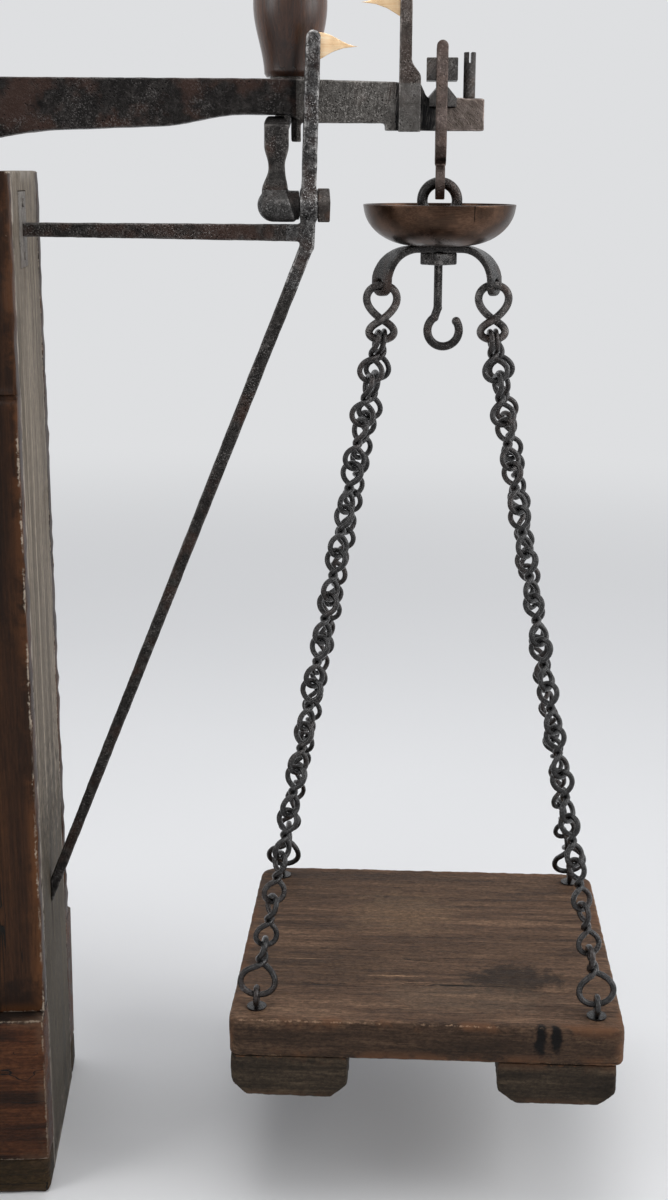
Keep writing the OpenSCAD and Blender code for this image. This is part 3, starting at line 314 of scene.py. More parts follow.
# Rails and front board: planed boards on edge, set on the sills as the plinth of the scale.
# Reddish varnish over a level grain, rubbed pale along the upper edge of the near rail.
RAIL_TONES = ((0.02, 0.0075, 0.003), (0.055, 0.0195, 0.008), (0.102, 0.04, 0.017))
RAIL_RUBBED = (0.13, 0.075, 0.045)
RAIL_CHIPPED = (0.34, 0.27, 0.2)
FRONT_END_TONES = ((0.012, 0.009, 0.006), (0.028, 0.023, 0.016), (0.052, 0.043, 0.031))
# A near-black band is painted along the top edge of the rails and front board, where they meet the column.
SHELF_BAND_DARK = (0.009, 0.007, 0.006)
shelf = (0, 0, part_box("rail_near")[1].z + 0.001)
shelf_size = (0.3, 0.5, 0.005)

for node, grain, shades, seed in (("rail_near", ALONG_X, RAIL_TONES, 11),
                                  ("rail_far", ALONG_X, RAIL_TONES, 13),
                                  ("front_board", ALONG_Y, FRONT_END_TONES, 16)):
    rail_wood = timber(node + "_board", grain, shades, RAIL_RUBBED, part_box(node), seed, cracks=0.003,
                       gloss=0.5, chipped=RAIL_CHIPPED, chips=0.6, worn=0.45, streaks=(5, 80),
                       fibres=(26, 640), grit=0.7, marks=((shelf, shelf_size, SHELF_BAND_DARK, 0.95),))
    stand_for(worn_timber(node, grain, edge=0.0016, chip=0.0009, seed=seed), node, "column_wood", rail_wood)


# Column: four boards nailed to a hollow post, with a flat cap that the rods pass through.
# The front and back boards keep their reddish-brown varnish; its edges are chipped to orange wood.
FRONT_TONES = ((0.011, 0.0045, 0.002), (0.031, 0.0125, 0.005), (0.082, 0.034, 0.013))
FRONT_RUBBED = (0.13, 0.05, 0.018)
FRONT_CHIPPED = (0.5, 0.42, 0.33)
GREY_TONES = ((0.1, 0.085, 0.068), (0.21, 0.184, 0.153), (0.34, 0.306, 0.262))
GREY_RUBBED = (0.36, 0.32, 0.275)
RUST_STREAK = (0.035, 0.02, 0.013)
TIDE_Z = 0.155

for node, seed in (("column_near_board", 21), ("column_far_board", 24)):
    low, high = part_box(node)
    tidemark = (((low.x + high.x) / 2, (low.y + high.y) / 2, TIDE_Z), (0.4, 0.4, 0.03), FRONT_TONES[0], 0.8)
    varnish = timber(node + "_varnished", ALONG_Z, FRONT_TONES, FRONT_RUBBED, (low, high), seed, cracks=0.004,
                     gloss=0.46, wear=0.0035, chipped=FRONT_CHIPPED, chips=0.7, worn=0.55, marks=(tidemark,))
    varnished_board = worn_timber(node, ALONG_Z, edge=0.0016, chip=0.0011, every=0.009, seed=seed)
    stand_for(varnished_board, node, "column_wood", varnish)

arm_low, arm_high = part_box("bracket")
arm_foot = Vector((arm_low.x, (arm_low.y + arm_high.y) / 2, 0))
iron_marks = (((arm_foot.x, arm_foot.y, 0.738), (0.02, 0.012, 0.02), RUST_STREAK, 0.85),
              ((arm_foot.x, arm_foot.y, 0.72), (0.02, 0.007, 0.05), RUST_STREAK, 0.4),
              ((arm_foot.x, arm_foot.y, 0.205), (0.02, 0.006, 0.03), RUST_STREAK, 0.8))
damp_foot = ((arm_foot.x, 0, 0.13), (0.4, 0.3, 0.24), FRONT_END_TONES[1], 0.72)
for node, seed in (("column_right_board", 27), ("column_left_board", 29)):
    weathered = timber(node + "_weathered", ALONG_Z, GREY_TONES, GREY_RUBBED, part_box(node), seed,
                       cracks=0.009, stain=0.3, gloss=0.72, streaks=(2.5, 70), grit=0.6,
                       marks=iron_marks + (damp_foot,))
    stand_for(worn_timber(node, ALONG_Z, edge=0.001, seed=seed), node, "grey_wood", weathered)

stand_for(worn_timber("column_cap", ALONG_X, edge=0.0012, seed=31), "column_cap", "column_wood",
          timber("column_cap_wood", ALONG_X, FOOT_TONES, FOOT_RUBBED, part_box("column_cap"), 31))


# Bracket: one iron forged with an upright, an arm let into the column and a long brace.
# Dark, scaly and hammered, so that no face is quite flat; its corners are rubbed brighter and carry a painted
# highlight.
IRON_TONES = ((0.0084, 0.00735, 0.007), (0.0224, 0.0203, 0.0189), (0.0595, 0.0546, 0.0511))
IRON_RUST = (0.06, 0.03, 0.021)


def forged(piece, grain, rounds, hammer):
    """Closes a piece to an even skin, softens its corners and beats its faces a little uneven."""
    add_modifier(piece, "REMESH", mode="VOXEL", voxel_size=grain, use_smooth_shade=True)
    add_modifier(piece, "SMOOTH", factor=0.5, iterations=rounds)
    blows = bpy.data.textures.new(piece.name + "_blows", "CLOUDS")
    blows.noise_scale = 0.011
    blows.noise_depth = 3
    add_modifier(piece, "DISPLACE", texture=blows, texture_coords="LOCAL", strength=hammer, mid_level=0.5)
    only(piece)
    bpy.ops.object.shade_smooth()
    return piece


def iron(name, shades, rust, share, pits=1.0, rough=0.4, metal=0.85, filed=0.0, slant=38, glint_amount=0.55,
         edges=0.0, marks=(), oiled=0.0):
    """Old iron: mottled scale, patches of rust, small pits, fine bright flecks that are painted glints, corners
    lightened partly as rubbed wear and partly as a painted highlight, strokes where it is filed.
    """
    material = bpy.data.materials.new(name)
    material.use_nodes = True
    tree = material.node_tree
    skin = tree.nodes["Principled BSDF"]
    place = step(tree, "TexCoord", {}).outputs["Object"]
    mottle = cloud(tree, place, 150, 8, 0.72)
    patch = cloud(tree, place, 26, 6, 0.62)
    grain = cloud(tree, place, 780, 4, 0.7)
    cell = step(tree, "TexVoronoi", {"Vector": place, "Scale": 430.0}, feature="F1").outputs["Distance"]
    pit = times(tree, fade(tree, cell, 0.08, 0.34, 1, 0), fade(tree, cloud(tree, place, 75, 3), 0.44, 0.58))
    colour = tones(tree, mottle, 0.34, 0.66, shades)
    colour = coat(tree, times(tree, fade(tree, patch, 0.48, 0.62), share), colour, rust)
    # Sharp corners lightened by pointiness: partly rubbed bare metal, partly a painted highlight.
    if edges:
        corner = fade(tree, step(tree, "NewGeometry", {}).outputs["Pointiness"], 0.512, 0.55)
        rubbed_and_highlit = times(tree, corner, fade(tree, mottle, 0.44, 0.6, 0.1, edges))
        colour = coat(tree, rubbed_and_highlit, colour, tuple(min(1, tone * 3.4 + 0.05) for tone in shades[2]))
    colour = coat(tree, times(tree, pit, 0.8), colour, tuple(tone * 0.45 for tone in shades[0]))
    # Painted glints: fine bright specks lightened into the colour, standing in for light caught by the pitted
    # grain.
    painted_glint = times(tree, fade(tree, grain, 0.54, 0.62), glint_amount)
    painted_glint = times(tree, painted_glint, fade(tree, cloud(tree, place, 48, 4, 0.6), 0.42, 0.6, 0.15, 1))
    colour = coat(tree, painted_glint, colour, tuple(min(1, tone * 3.0 + 0.06) for tone in shades[2]))
    for centre, size, paint, amount in marks:
        colour = coat(tree, times(tree, spot(tree, place, centre, size), amount), colour, paint)
    relief = plus(tree, times(tree, mottle, 0.9), times(tree, grain, 0.6))
    relief = less(tree, relief, times(tree, pit, pits))
    if filed:
        strokes = step(tree, "Mapping", {"Vector": place, "Rotation": (0, math.radians(slant), 0),
                                         "Scale": (0.00045, 0.016, 0.009)}, vector_type="TEXTURE").outputs[0]
        stroke = cloud(tree, strokes, 1.0, 2)
        relief = plus(tree, relief, times(tree, stroke, filed))
        worked = times(tree, fade(tree, stroke, 0.45, 0.68), fade(tree, patch, 0.4, 0.6, 0.1, 0.5))
        colour = coat(tree, worked, colour, tuple(min(1, tone * 2.1) for tone in shades[2]))
    bump = step(tree, "Bump", {"Strength": 1.0, "Distance": 0.001, "Height": relief})
    tree.links.new(bump.outputs["Normal"], skin.inputs["Normal"])
    tree.links.new(colour, skin.inputs["Base Color"])
    tree.links.new(fade(tree, grain, 0.35, 0.65, rough + 0.14, rough - 0.12), skin.inputs["Roughness"])
    skin.inputs["Metallic"].default_value = metal
    skin.inputs["Coat Weight"].default_value = oiled
    skin.inputs["Coat Roughness"].default_value = 0.25
    return material


forged_iron = iron("forged_iron", IRON_TONES, IRON_RUST, 0.5, edges=0.4)
# The upright takes a lighter, glintier copy of the forged iron: painted light for the light that falls on its
# face.
UPRIGHT_LIT_TONES = ((0.0085, 0.0085, 0.00893), (0.0374, 0.0357, 0.0348), (0.145, 0.141, 0.138))
upright_from = 0.285
upright_above = 0.7
upright_lit_iron = iron("upright_lit_iron", UPRIGHT_LIT_TONES, IRON_RUST, 0.3, pits=1.4, rough=0.34, glint_amount=0.6,
                    edges=0.8)
bracket = forged(cut_to("bracket", "bracket_forging"), 0.0012, 3, 0.0007)
stand_for(bracket, "bracket", "forged_iron", forged_iron, upright_lit_iron)
for face in bracket.data.polygons:
    on_upright = face.center.x > upright_from and face.center.z > upright_above
    face.material_index = 1 if on_upright else 0


# Wall plate: a thin iron plate let flush into the column behind the arm, held by two nails.
# It has weathered to nearly the grey of the wood round it.
PLATE_TONES = ((0.085, 0.073, 0.062), (0.15, 0.134, 0.117), (0.23, 0.21, 0.188))

wall_plate = cut_to("wall_plate", "wall_plate_iron")
add_modifier(wall_plate, "BEVEL", width=0.0004, segments=2, limit_method="ANGLE",
             angle_limit=math.radians(35))
smooth(wall_plate)
stand_for(wall_plate, "wall_plate", "forged_iron",
          iron("plate_iron", PLATE_TONES, IRON_RUST, 0.3, pits=0.5, metal=0.1, rough=0.7, glint_amount=0.0))


# Pivot bolt and nut: a turned bolt that carries the arrest lever, with a square nut at its end.
# The nut is filed on its faces and has rusted where a spanner never touches.
NUT_TONES = ((0.03, 0.024, 0.021), (0.062, 0.052, 0.046), (0.12, 0.105, 0.095))
NUT_RUST = (0.13, 0.066, 0.042)
nut_iron = iron("nut_iron", NUT_TONES, NUT_RUST, 0.9, rough=0.42, metal=0.7)


def chamfered(node, name, width, segments=2, angle=35):
    """A machined or filed piece with its CAD node's shape and narrow bright chamfers."""
    piece = cut_to(node, name)
    add_modifier(piece, "BEVEL", width=width, segments=segments, limit_method="ANGLE",
                 angle_limit=math.radians(angle), use_clamp_overlap=False)
    smooth(piece)
    return piece


stand_for(chamfered("pivot_nut", "pivot_square_nut", 0.0009), "pivot_nut", "forged_iron", nut_iron)
stand_for(chamfered("pivot_bolt", "pivot_turned_bolt", 0.0006), "pivot_bolt", "forged_iron", nut_iron)


# Fulcrum stand and bearings: a forked iron stand on the cap holds the two V blocks of the main knife.
# Blocks of the same blued, dull and oily steel take every other knife.
STEEL_TONES = ((0.024, 0.022, 0.021), (0.05, 0.046, 0.044), (0.095, 0.089, 0.085))
STEEL_RUST = (0.09, 0.055, 0.035)
knife_steel = iron("knife_steel", STEEL_TONES, STEEL_RUST, 0.4, pits=0.3, rough=0.36, filed=0.15, glint_amount=0.3)

stand_for(chamfered("fulcrum_stand", "forked_stand", 0.0012), "fulcrum_stand", "forged_iron", forged_iron)
for node in ("main_bearings", "lever_bearings", "platform_bearings", "pan_bearing", "platform_rod_bearing",
             "lever_rod_bearing"):
    stand_for(chamfered(node, node + "_blocks", 0.0007), node, "knife_steel", knife_steel)


# Beam: one long forging, thick and dark to the arrest lever, then filed thin and grey to its end block.
# Its underside is hollowed in long curves; knives, pointer bar and stud are let into it.
BEAM_TONES = ((0.0048, 0.0042, 0.0039), (0.012, 0.0105, 0.0099), (0.0312, 0.0276, 0.0258))
BEAM_RUST = (0.046, 0.025, 0.019)
FILED_TONES = ((0.0312, 0.0285, 0.0261), (0.0671, 0.0616, 0.0565), (0.129, 0.121, 0.112))
END_TONES = ((0.0496, 0.0368, 0.0296), (0.0928, 0.072, 0.0608), (0.152, 0.124, 0.109))
# Near black, painted as shade: in the beam's recess, beside the pointer bar's foot and on the lever's collar.
PAINTED_SHADE_BLACK = (0.004, 0.004, 0.0045)
filed_from = 0.293
end_block_from = 0.396
knife_z = 0.848
# Painted shade: near-black patches on the filed beam, in the recess before its end block and in the gap beside
# the pointer bar's foot.
recess_shade = ((0.3893, 0, knife_z - 0.022), (0.0085, 0.02, 0.05), PAINTED_SHADE_BLACK, 1.0)
foot_shadow = ((0.3668, -0.006, knife_z - 0.022), (0.0013, 0.01, 0.05), PAINTED_SHADE_BLACK, 0.9)

beam_iron = iron("beam_iron", BEAM_TONES, BEAM_RUST, 0.75, pits=1.2, glint_amount=0.5, edges=0.5)
filed_iron = iron("filed_iron", FILED_TONES, IRON_RUST, 0.3, pits=0.8, filed=0.22, slant=8, glint_amount=0.4,
                  edges=0.5, marks=(recess_shade, foot_shadow))
end_iron = iron("end_iron", END_TONES, IRON_RUST, 0.35, pits=0.4, metal=0.7, filed=0.6, slant=-48,
                glint_amount=0.25, edges=0.7)
beam = forged(cut_to("beam", "beam_forging"), 0.0012, 2, 0.0005)
stand_for(beam, "beam", "forged_iron", beam_iron, filed_iron, end_iron)
for face in beam.data.polygons:
    face.material_index = 2 if face.center.x > end_block_from else 1 if face.center.x > filed_from else 0


# Knives: three-sided steel bars driven through the beam, the levers and the tongue.
# Their edges carry every load, so they are ground clean and left bright.
for node in ("main_knife", "platform_rod_knife", "lever_rod_knife", "pan_knife", "lever_fulcrum_knife",
             "lever_load_knife", "lever_end_knife", "tongue_knife"):
    stand_for(chamfered(node, node + "_bar", 0.0004), node, "knife_steel", knife_steel)


# Pointer bar, pointers and end stud: an iron finger on the beam's end block with a brass fin,
# a fin like it on the bracket's upright, and a slotted stud that stops the stirrup.
BRASS_TONES = ((0.78, 0.5, 0.27), (0.96, 0.7, 0.43), (1.0, 0.87, 0.66))
BAR_TONES = ((0.0289, 0.0238, 0.0213), (0.0638, 0.0544, 0.0485), (0.119, 0.105, 0.0969))
BAR_FOOT_TONES = ((0.055, 0.05, 0.046), (0.092, 0.086, 0.08), (0.14, 0.132, 0.126))
POINTER_TARNISH = (0.4, 0.26, 0.12)
SEAM_BLACK = (0.012, 0.009, 0.007)


def brass(name, shades, tarnish, share, rough=0.34, brushed=0.3, seams=()):
    """Old brass: fine lengthwise scratches and a brown tarnish in clouds."""
    material = bpy.data.materials.new(name)
    material.use_nodes = True
    tree = material.node_tree
    skin = tree.nodes["Principled BSDF"]
    place = step(tree, "TexCoord", {}).outputs["Object"]
    drawn = step(tree, "Mapping", {"Vector": place, "Scale": (60, 1500, 1900)}).outputs[0]
    scratch = cloud(tree, drawn, 1.0, 3)
    bloom = cloud(tree, place, 42, 6, 0.62)
    lustre = plus(tree, times(tree, scratch, 0.4), times(tree, bloom, 0.6))
    colour = tones(tree, lustre, 0.36, 0.62, shades)
    dull = times(tree, fade(tree, cloud(tree, place, 90, 5), 0.46, 0.62), share)
    colour = coat(tree, dull, colour, tarnish)
    for centre, size in seams:
        colour = coat(tree, spot(tree, place, centre, size), colour, SEAM_BLACK)
    relief = plus(tree, scratch, times(tree, bloom, 0.8))
    bump = step(tree, "Bump", {"Strength": brushed, "Distance": 0.0002, "Height": relief})
    tree.links.new(bump.outputs["Normal"], skin.inputs["Normal"])
    tree.links.new(colour, skin.inputs["Base Color"])
    tree.links.new(fade(tree, bloom, 0.35, 0.65, rough - 0.05, rough + 0.14), skin.inputs["Roughness"])
    skin.inputs["Metallic"].default_value = 1.0
    return material


pointer_brass = brass("pointer_brass", BRASS_TONES, POINTER_TARNISH, 0.25, rough=0.5)
for node in ("fixed_pointer", "moving_pointer"):
    stand_for(chamfered(node, node + "_fin", 0.0004), node, "pointer_brass", pointer_brass)
pointer_bar = forged(cut_to("pointer_bar", "pointer_bar_forging"), 0.0006, 2, 0.0003)
bar_iron = iron("bar_iron", BAR_TONES, IRON_RUST, 0.25, pits=0.7, glint_amount=0.4, edges=0.8)
bar_foot_iron = iron("bar_foot_iron", BAR_FOOT_TONES, IRON_RUST, 0.15, pits=0.4, glint_amount=0.25, edges=0.6)
stand_for(pointer_bar, "pointer_bar", "forged_iron", bar_iron, bar_foot_iron)
for face in pointer_bar.data.polygons:
    face.material_index = 1 if face.center.z < knife_z - 0.0015 else 0
stand_for(chamfered("end_stud", "slotted_stud", 0.0004), "end_stud", "forged_iron", knife_steel)


# Arrest lever: a short forging with a round boss, a waist and a broad head that lifts the beam,
# and behind the beam a tang, an iron ferrule and a turned handle of dark polished wood.
HANDLE_TONES = ((0.013, 0.005, 0.003), (0.05, 0.02, 0.01), (0.15, 0.062, 0.026))
COLLAR_SHADE_TONES = (PAINTED_SHADE_BLACK, (0.009, 0.009, 0.009), (0.022, 0.021, 0.02))
BOSS_TONES = ((0.0238, 0.0229, 0.0221), (0.0527, 0.051, 0.0493), (0.111, 0.107, 0.104))
pivot = Vector((0.2951, -0.016, 0.76))
collar_r = 0.0115
boss_top = 0.011
boss_end = 0.003
boss_slant = 0.008
boss_half = 0.012

arrest_lever = forged(cut_to("arrest_lever", "arrest_lever_forging"), 0.0009, 3, 0.0004)
# The collar between the boss and the upright is painted near black, as the shade that falls there.
collar_shade_iron = iron("collar_shade_iron", COLLAR_SHADE_TONES, IRON_RUST, 0.2, glint_amount=0.1)
boss_iron = iron("boss_iron", BOSS_TONES, IRON_RUST, 0.15, pits=0.8, glint_amount=0.4, edges=0.6)
stand_for(arrest_lever, "arrest_lever", "forged_iron", forged_iron, collar_shade_iron, boss_iron)
for face in arrest_lever.data.polygons:
    off = face.center - pivot
    if abs(off.z) < collar_r and off.x > -boss_end - boss_slant * (off.z + boss_half) / (2 * boss_half):
        face.material_index = 1
    elif off.z < boss_top:
        face.material_index = 2
stand_for(chamfered("handle_ferrule", "ferrule", 0.0008), "handle_ferrule", "filed_iron", filed_iron)

low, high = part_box("wooden_handle")
handle_middle = (low + high) / 2
handle_foot = low.z
handle_len = high.z - low.z
handle_r = (high.x - low.x) / 2
neck_r = 0.0195
belly_at = 0.46


def turned_profile(name, points, middle, sides=96):
    """Turns a profile of radius and height round an upright axis."""
    mesh = bpy.data.meshes.new(name)
    mesh.from_pydata([(radius, 0, height) for radius, height in points],
                     [(i, i + 1) for i in range(len(points) - 1)], [])
    piece = bpy.data.objects.new(name, mesh)
    bpy.context.scene.collection.objects.link(piece)
    only(piece)
    bpy.ops.object.mode_set(mode="EDIT")
    bpy.ops.mesh.select_all(action="SELECT")
    bpy.ops.mesh.spin(steps=sides, angle=2 * math.pi, center=(0, 0, 0), axis=(0, 0, 1))
    bpy.ops.mesh.select_all(action="SELECT")
    bpy.ops.mesh.remove_doubles(threshold=0.00001)
    bpy.ops.mesh.normals_make_consistent(inside=False)
    bpy.ops.object.mode_set(mode="OBJECT")
    piece.data.transform(Matrix.Translation(middle))
    smooth(piece, 50)
    return piece


def handle_radius(share):
    """Radius of the handle at a share of its length: a swelling neck, then a round end."""
    if share < belly_at:
        return neck_r + (handle_r - neck_r) * (1 - math.cos(math.pi * share / belly_at)) / 2
    return handle_r * math.sqrt(max(0, 1 - ((share - belly_at) / (1 - belly_at)) ** 2))


handle_side = [(handle_radius(i / 48), handle_len * i / 48) for i in range(1, 49)]
handle = turned_profile("turned_handle", [(0, 0), (neck_r - 0.0015, 0)] + handle_side,
                        (handle_middle.x, handle_middle.y, handle_foot))
handle_wood = timber("handle_wood", ALONG_Z, HANDLE_TONES, HANDLE_TONES[2], (low, high), 41, cracks=0.003,
                     stain=0.5, gloss=0.26, wear=0.001)
polish = handle_wood.node_tree.nodes["Principled BSDF"]
polish.inputs["Coat Weight"].default_value = 0.7
polish.inputs["Coat Roughness"].default_value = 0.33
stand_for(handle, "wooden_handle", "handle_wood", handle_wood)


# Load rods, tongue and lower lever: long iron rods with a stirrup at the top and an eye below, the bars
# that hang the platform's rear, and the forked lever in the base that takes up its front.
for node in ("platform_rod", "lever_rod", "tongue"):
    stand_for(chamfered(node, node + "_iron", 0.0009), node, "forged_iron", forged_iron)
stand_for(chamfered("lower_lever", "forked_lever", 0.0012), "lower_lever", "forged_iron", forged_iron)


# Platform: a frame of square timbers with six planks nailed across, and a backboard at the column.
# The planks are worn brown and grey where goods were slid on and off.
PLANK_TONES = ((0.035, 0.022, 0.014), (0.085, 0.058, 0.04), (0.15, 0.112, 0.082))
PLANK_RUBBED = (0.19, 0.135, 0.092)

for node, grain, seed in (("platform_side_beams", ALONG_X, 51), ("platform_front_beam", ALONG_Y, 53),
                          ("platform_knife_beam", ALONG_Y, 55), ("platform_rear_beam", ALONG_Y, 57)):
    stand_for(worn_timber(node, grain, edge=0.0014, every=0.03, seed=seed), node, "platform_wood",
              timber(node + "_wood", grain, FOOT_TONES, FOOT_RUBBED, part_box(node), seed))
stand_for(worn_timber("platform_planks", ALONG_X, edge=0.0016, seed=59), "platform_planks", "platform_wood",
          timber("plank_wood", ALONG_X, PLANK_TONES, PLANK_RUBBED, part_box("platform_planks"), 59, wear=0.006))
stand_for(worn_timber("backboard", ALONG_Y, edge=0.002, chip=0.001, seed=61), "backboard", "platform_wood",
          timber("backboard_wood", ALONG_Y, PLANK_TONES, PLANK_RUBBED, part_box("backboard"), 61, wear=0.006))


# Pan hanger: a flat stirrup on the pan knife, an eye bolt, a yoke of flat bar, a square nut and a hook.
# All of it is black iron, rubbed to a brown-grey where hands and rings have worn it, with a painted highlight
# along its sharp edges.
HANGER_TONES = ((0.0055, 0.0048, 0.0045), (0.0125, 0.011, 0.0104), (0.032, 0.029, 0.027))
STIRRUP_TONES = ((0.0426, 0.0303, 0.0254), (0.0886, 0.0656, 0.0566), (0.156, 0.121, 0.107))
HANGER_RUST = (0.07, 0.042, 0.032)
STIRRUP_RUST = (0.1, 0.06, 0.045)
BEND_SHADE_BLACK = (0.008, 0.006, 0.005)
pan_x = 0.4
yoke_taper = 0.23
hanger_iron = iron("hanger_iron", HANGER_TONES, HANGER_RUST, 0.5, pits=0.7, rough=0.3, edges=0.8, oiled=0.3)
# Painted shade: a dark band across the stirrup's near face where its bars bend in towards the stem.
bend_shade_band = ((pan_x, -0.014, 0.7925), (0.01, 0.008, 0.0028), BEND_SHADE_BLACK, 0.9)
stirrup_iron = iron("stirrup_iron", STIRRUP_TONES, STIRRUP_RUST, 0.5, pits=0.6, metal=0.7, glint_amount=0.3,
                    marks=(bend_shade_band,))

stirrup = forged(cut_to("pan_stirrup", "pan_stirrup_forging"), 0.0007, 2, 0.00035)
stand_for(stirrup, "pan_stirrup", "forged_iron", stirrup_iron)
yoke = forged(cut_to("yoke", "yoke_forging"), 0.0007, 2, 0.00035)
bpy.ops.object.empty_add(location=(pan_x, 0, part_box("yoke")[1].z))
yoke_middle = bpy.context.view_layer.objects.active
add_modifier(yoke, "SIMPLE_DEFORM", deform_method="TAPER", deform_axis="Y", lock_z=True, factor=yoke_taper,
             origin=yoke_middle)
bpy.data.objects.remove(yoke_middle)
stand_for(yoke, "yoke", "forged_iron", hanger_iron)
stand_for(chamfered("square_nut", "yoke_nut", 0.0011), "square_nut", "forged_iron", hanger_iron)

for node in ("eye_bolt", "hook"):
    bent = cut_to(node, node + "_bent")
    smooth(bent, 60)
    stand_for(bent, node, "forged_iron", hanger_iron)


# Tare dish: a shallow bowl spun from sheet brass, gone brown, with a soldered seam and a rolled rim.
# The eye bolt's stem goes through its flat bottom, and the yoke and its nut clamp it from below.
DISH_TONES = ((0.029, 0.0165, 0.0115), (0.068, 0.039, 0.026), (0.128, 0.074, 0.049))
dish_low, dish_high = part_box("tare_dish")
dish_r = (dish_high.x - dish_low.x) / 2
dish_flat = 0.018
dish_h = dish_high.z - dish_low.z
dish_wall = 0.0015
dish_rim = 0.0003
stem_hole = 0.004
DISH_TARNISH = (0.045, 0.03, 0.022)


def dish_side(inset):
    """Quarter of an oval that runs up from the dish's flat bottom, set in from its outside."""
    wide = dish_r - dish_flat - inset
    tall = dish_h - inset
    turns = [math.pi / 2 * i / 20 for i in range(21)]
    return [(dish_flat + wide * math.sin(turn), inset + tall * (1 - math.cos(turn))) for turn in turns]


outside = dish_side(0)
inside = dish_side(dish_wall)[::-1]
rim = [(dish_r + 0.0002, dish_h - 2 * dish_rim), (dish_r + 0.0001, dish_h + 0.0001),
       (dish_r - 3 * dish_rim, dish_h + dish_rim)]
hole = [(stem_hole, dish_wall), (stem_hole, 0)]
dish = turned_profile("spun_dish", [(stem_hole, 0)] + outside[:-1] + rim + inside + hole,
                      (pan_x, 0, dish_low.z), 128)
seam = ((pan_x + 0.0193, -0.0535, dish_high.z - 0.007), (0.0006, 0.01, 0.012))
dish_brass = brass("dish_brass", DISH_TONES, DISH_TARNISH, 0.5, rough=0.3, brushed=0.15, seams=(seam,))
stand_for(dish, "tare_dish", "dish_brass", dish_brass)


# Chains: iron links bent from round wire to a figure of eight with a quarter turn, each through the next.
# Two heavier links hang in the yoke, and one larger link at the end of each chain takes the board's eye.
CHAIN_TONES = ((0.0072, 0.00696, 0.00696), (0.0176, 0.017, 0.0171), (0.0464, 0.0448, 0.0448))
CHAIN_RUST = (0.045, 0.028, 0.022)
chain_iron = iron("chain_iron", CHAIN_TONES, CHAIN_RUST, 0.35, pits=0.5, rough=0.25, glint_amount=0.35, oiled=0.4)

link_count = 14
link_wire, link_r, link_neck, link_clear = 0.0042, 0.0088, 0.0031, 0.0003
end_wire, end_small_r, end_large_r, end_neck = 0.0048, 0.009, 0.0122, 0.0015
end_spread = 0.0012
top_wire, top_upper_r, top_lower_r = 0.006, 0.0115, 0.0096
top_overlap = 0.001
top_drop = 0.0035
pan_turn = math.radians(-6.1)
top_low, top_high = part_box("top_links")
hang_x = (top_high.x - top_low.x) / 2 - top_upper_r - top_wire / 2
top_upper_z = top_high.z - top_wire / 2 - top_upper_r
top_lower_z = top_upper_z - top_upper_r - top_lower_r + top_overlap
hang_roll, end_roll, sway = 45, 90, 6


def bent_ring(name, points, wire, sides):
    """A closed ring of round wire, bent along a path."""
    curve = bpy.data.curves.new(name, "CURVE")
    curve.dimensions = "3D"
    curve.bevel_depth = wire / 2
    curve.bevel_resolution = (sides - 4) // 2
    spline = curve.splines.new("NURBS")
    spline.points.add(len(points) - 1)
    for point, place in zip(spline.points, points):
        point.co = (*place, 1)
    spline.order_u = 4
    spline.resolution_u = 2
    spline.use_cyclic_u = True
    piece = bpy.data.objects.new(name, curve)
    bpy.context.scene.collection.objects.link(piece)
    only(piece)
    bpy.ops.object.convert(target="MESH")
    return bpy.context.view_layer.objects.active


def link_path(upper, lower, neck, wire, turn, drop=0.0):
    """Middle line of a closed link that hangs from its upper wire: two drops, crossed at the waist."""
    waist = 2 * upper + neck / 2 + drop
    foot = 2 * lower + neck / 2 - drop
    widest = 0.3536
    crossing = 0.46
    turn_from, turn_over = 0.62, 0.38
    steps = 56
    path = []
    for i in range(steps):
        a = 2 * math.pi * i / steps
        s, c = math.sin(a), math.cos(a)
        loop, reach = (upper, waist) if c > 0 else (lower, foot)
        height = waist - reach * c / (1 + s * s)
        across = loop / widest * s * c / (1 + s * s)
        lift = wire * crossing * s ** 3
        share = min(1, max(0, (height - turn_from * waist) / (turn_over * waist + turn_over * foot)))
        angle = turn * share * share * (3 - 2 * share)
        path.append(Vector((across * math.cos(angle) - lift * math.sin(angle),
                            across * math.sin(angle) + lift * math.cos(angle), height)))
    return path


def link(name, upper, lower, neck, wire, turn, sides, drop=0.0):
    """One link with an upper and a lower loop; the lower one is turned about the link's length."""
    piece = bent_ring(name, link_path(upper, lower, neck, wire, turn, drop), wire, sides)
    only(piece)
    bpy.ops.object.shade_smooth()
    return piece


def join(name, pieces):
    """Makes one object of several."""
    bpy.ops.object.select_all(action="DESELECT")
    for piece in pieces:
        piece.select_set(True)
    bpy.context.view_layer.objects.active = pieces[0]
    bpy.ops.object.join()
    joined = bpy.context.view_layer.objects.active
    joined.name = name
    return joined


def hung(pattern, place, way, roll):
    """A copy of a link, hung from a place in a direction and rolled about that direction."""
    piece = pattern.copy()
    piece.data = pattern.data.copy()
    bpy.context.scene.collection.objects.link(piece)
    azimuth = math.atan2(way.y, way.x)
    tilt = math.acos(way.z / way.length)
    aim = Matrix.Rotation(azimuth, 4, "Z") @ Matrix.Rotation(tilt, 4, "Y")
    piece.data.transform(Matrix.Translation(place) @ aim @ Matrix.Rotation(azimuth + roll, 4, "Z"))
    return piece


link_len = 4 * link_r + link_neck
link_pitch = link_len - link_wire - link_clear
end_from = link_count * link_pitch - (end_wire - link_wire) / 2
end_len = 2 * end_small_r + 2 * end_large_r + end_neck
eye_r, eye_wire, washer_t = 0.0065, 0.0044, 0.0012
end_grip = (eye_wire + end_wire) / 2 + link_clear
start_r = top_lower_r - (top_wire + link_wire) / 2 - link_clear
start_x = link_wire / 2 + link_clear
start_z = top_lower_z - math.sqrt(start_r ** 2 - start_x ** 2)
board_low, board_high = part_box("weight_board")
pan_top = board_high.z
eye_up = washer_t + eye_wire / 2 + 2 * eye_r - 0.0008
eye_x, eye_y = 0.13, 0.122

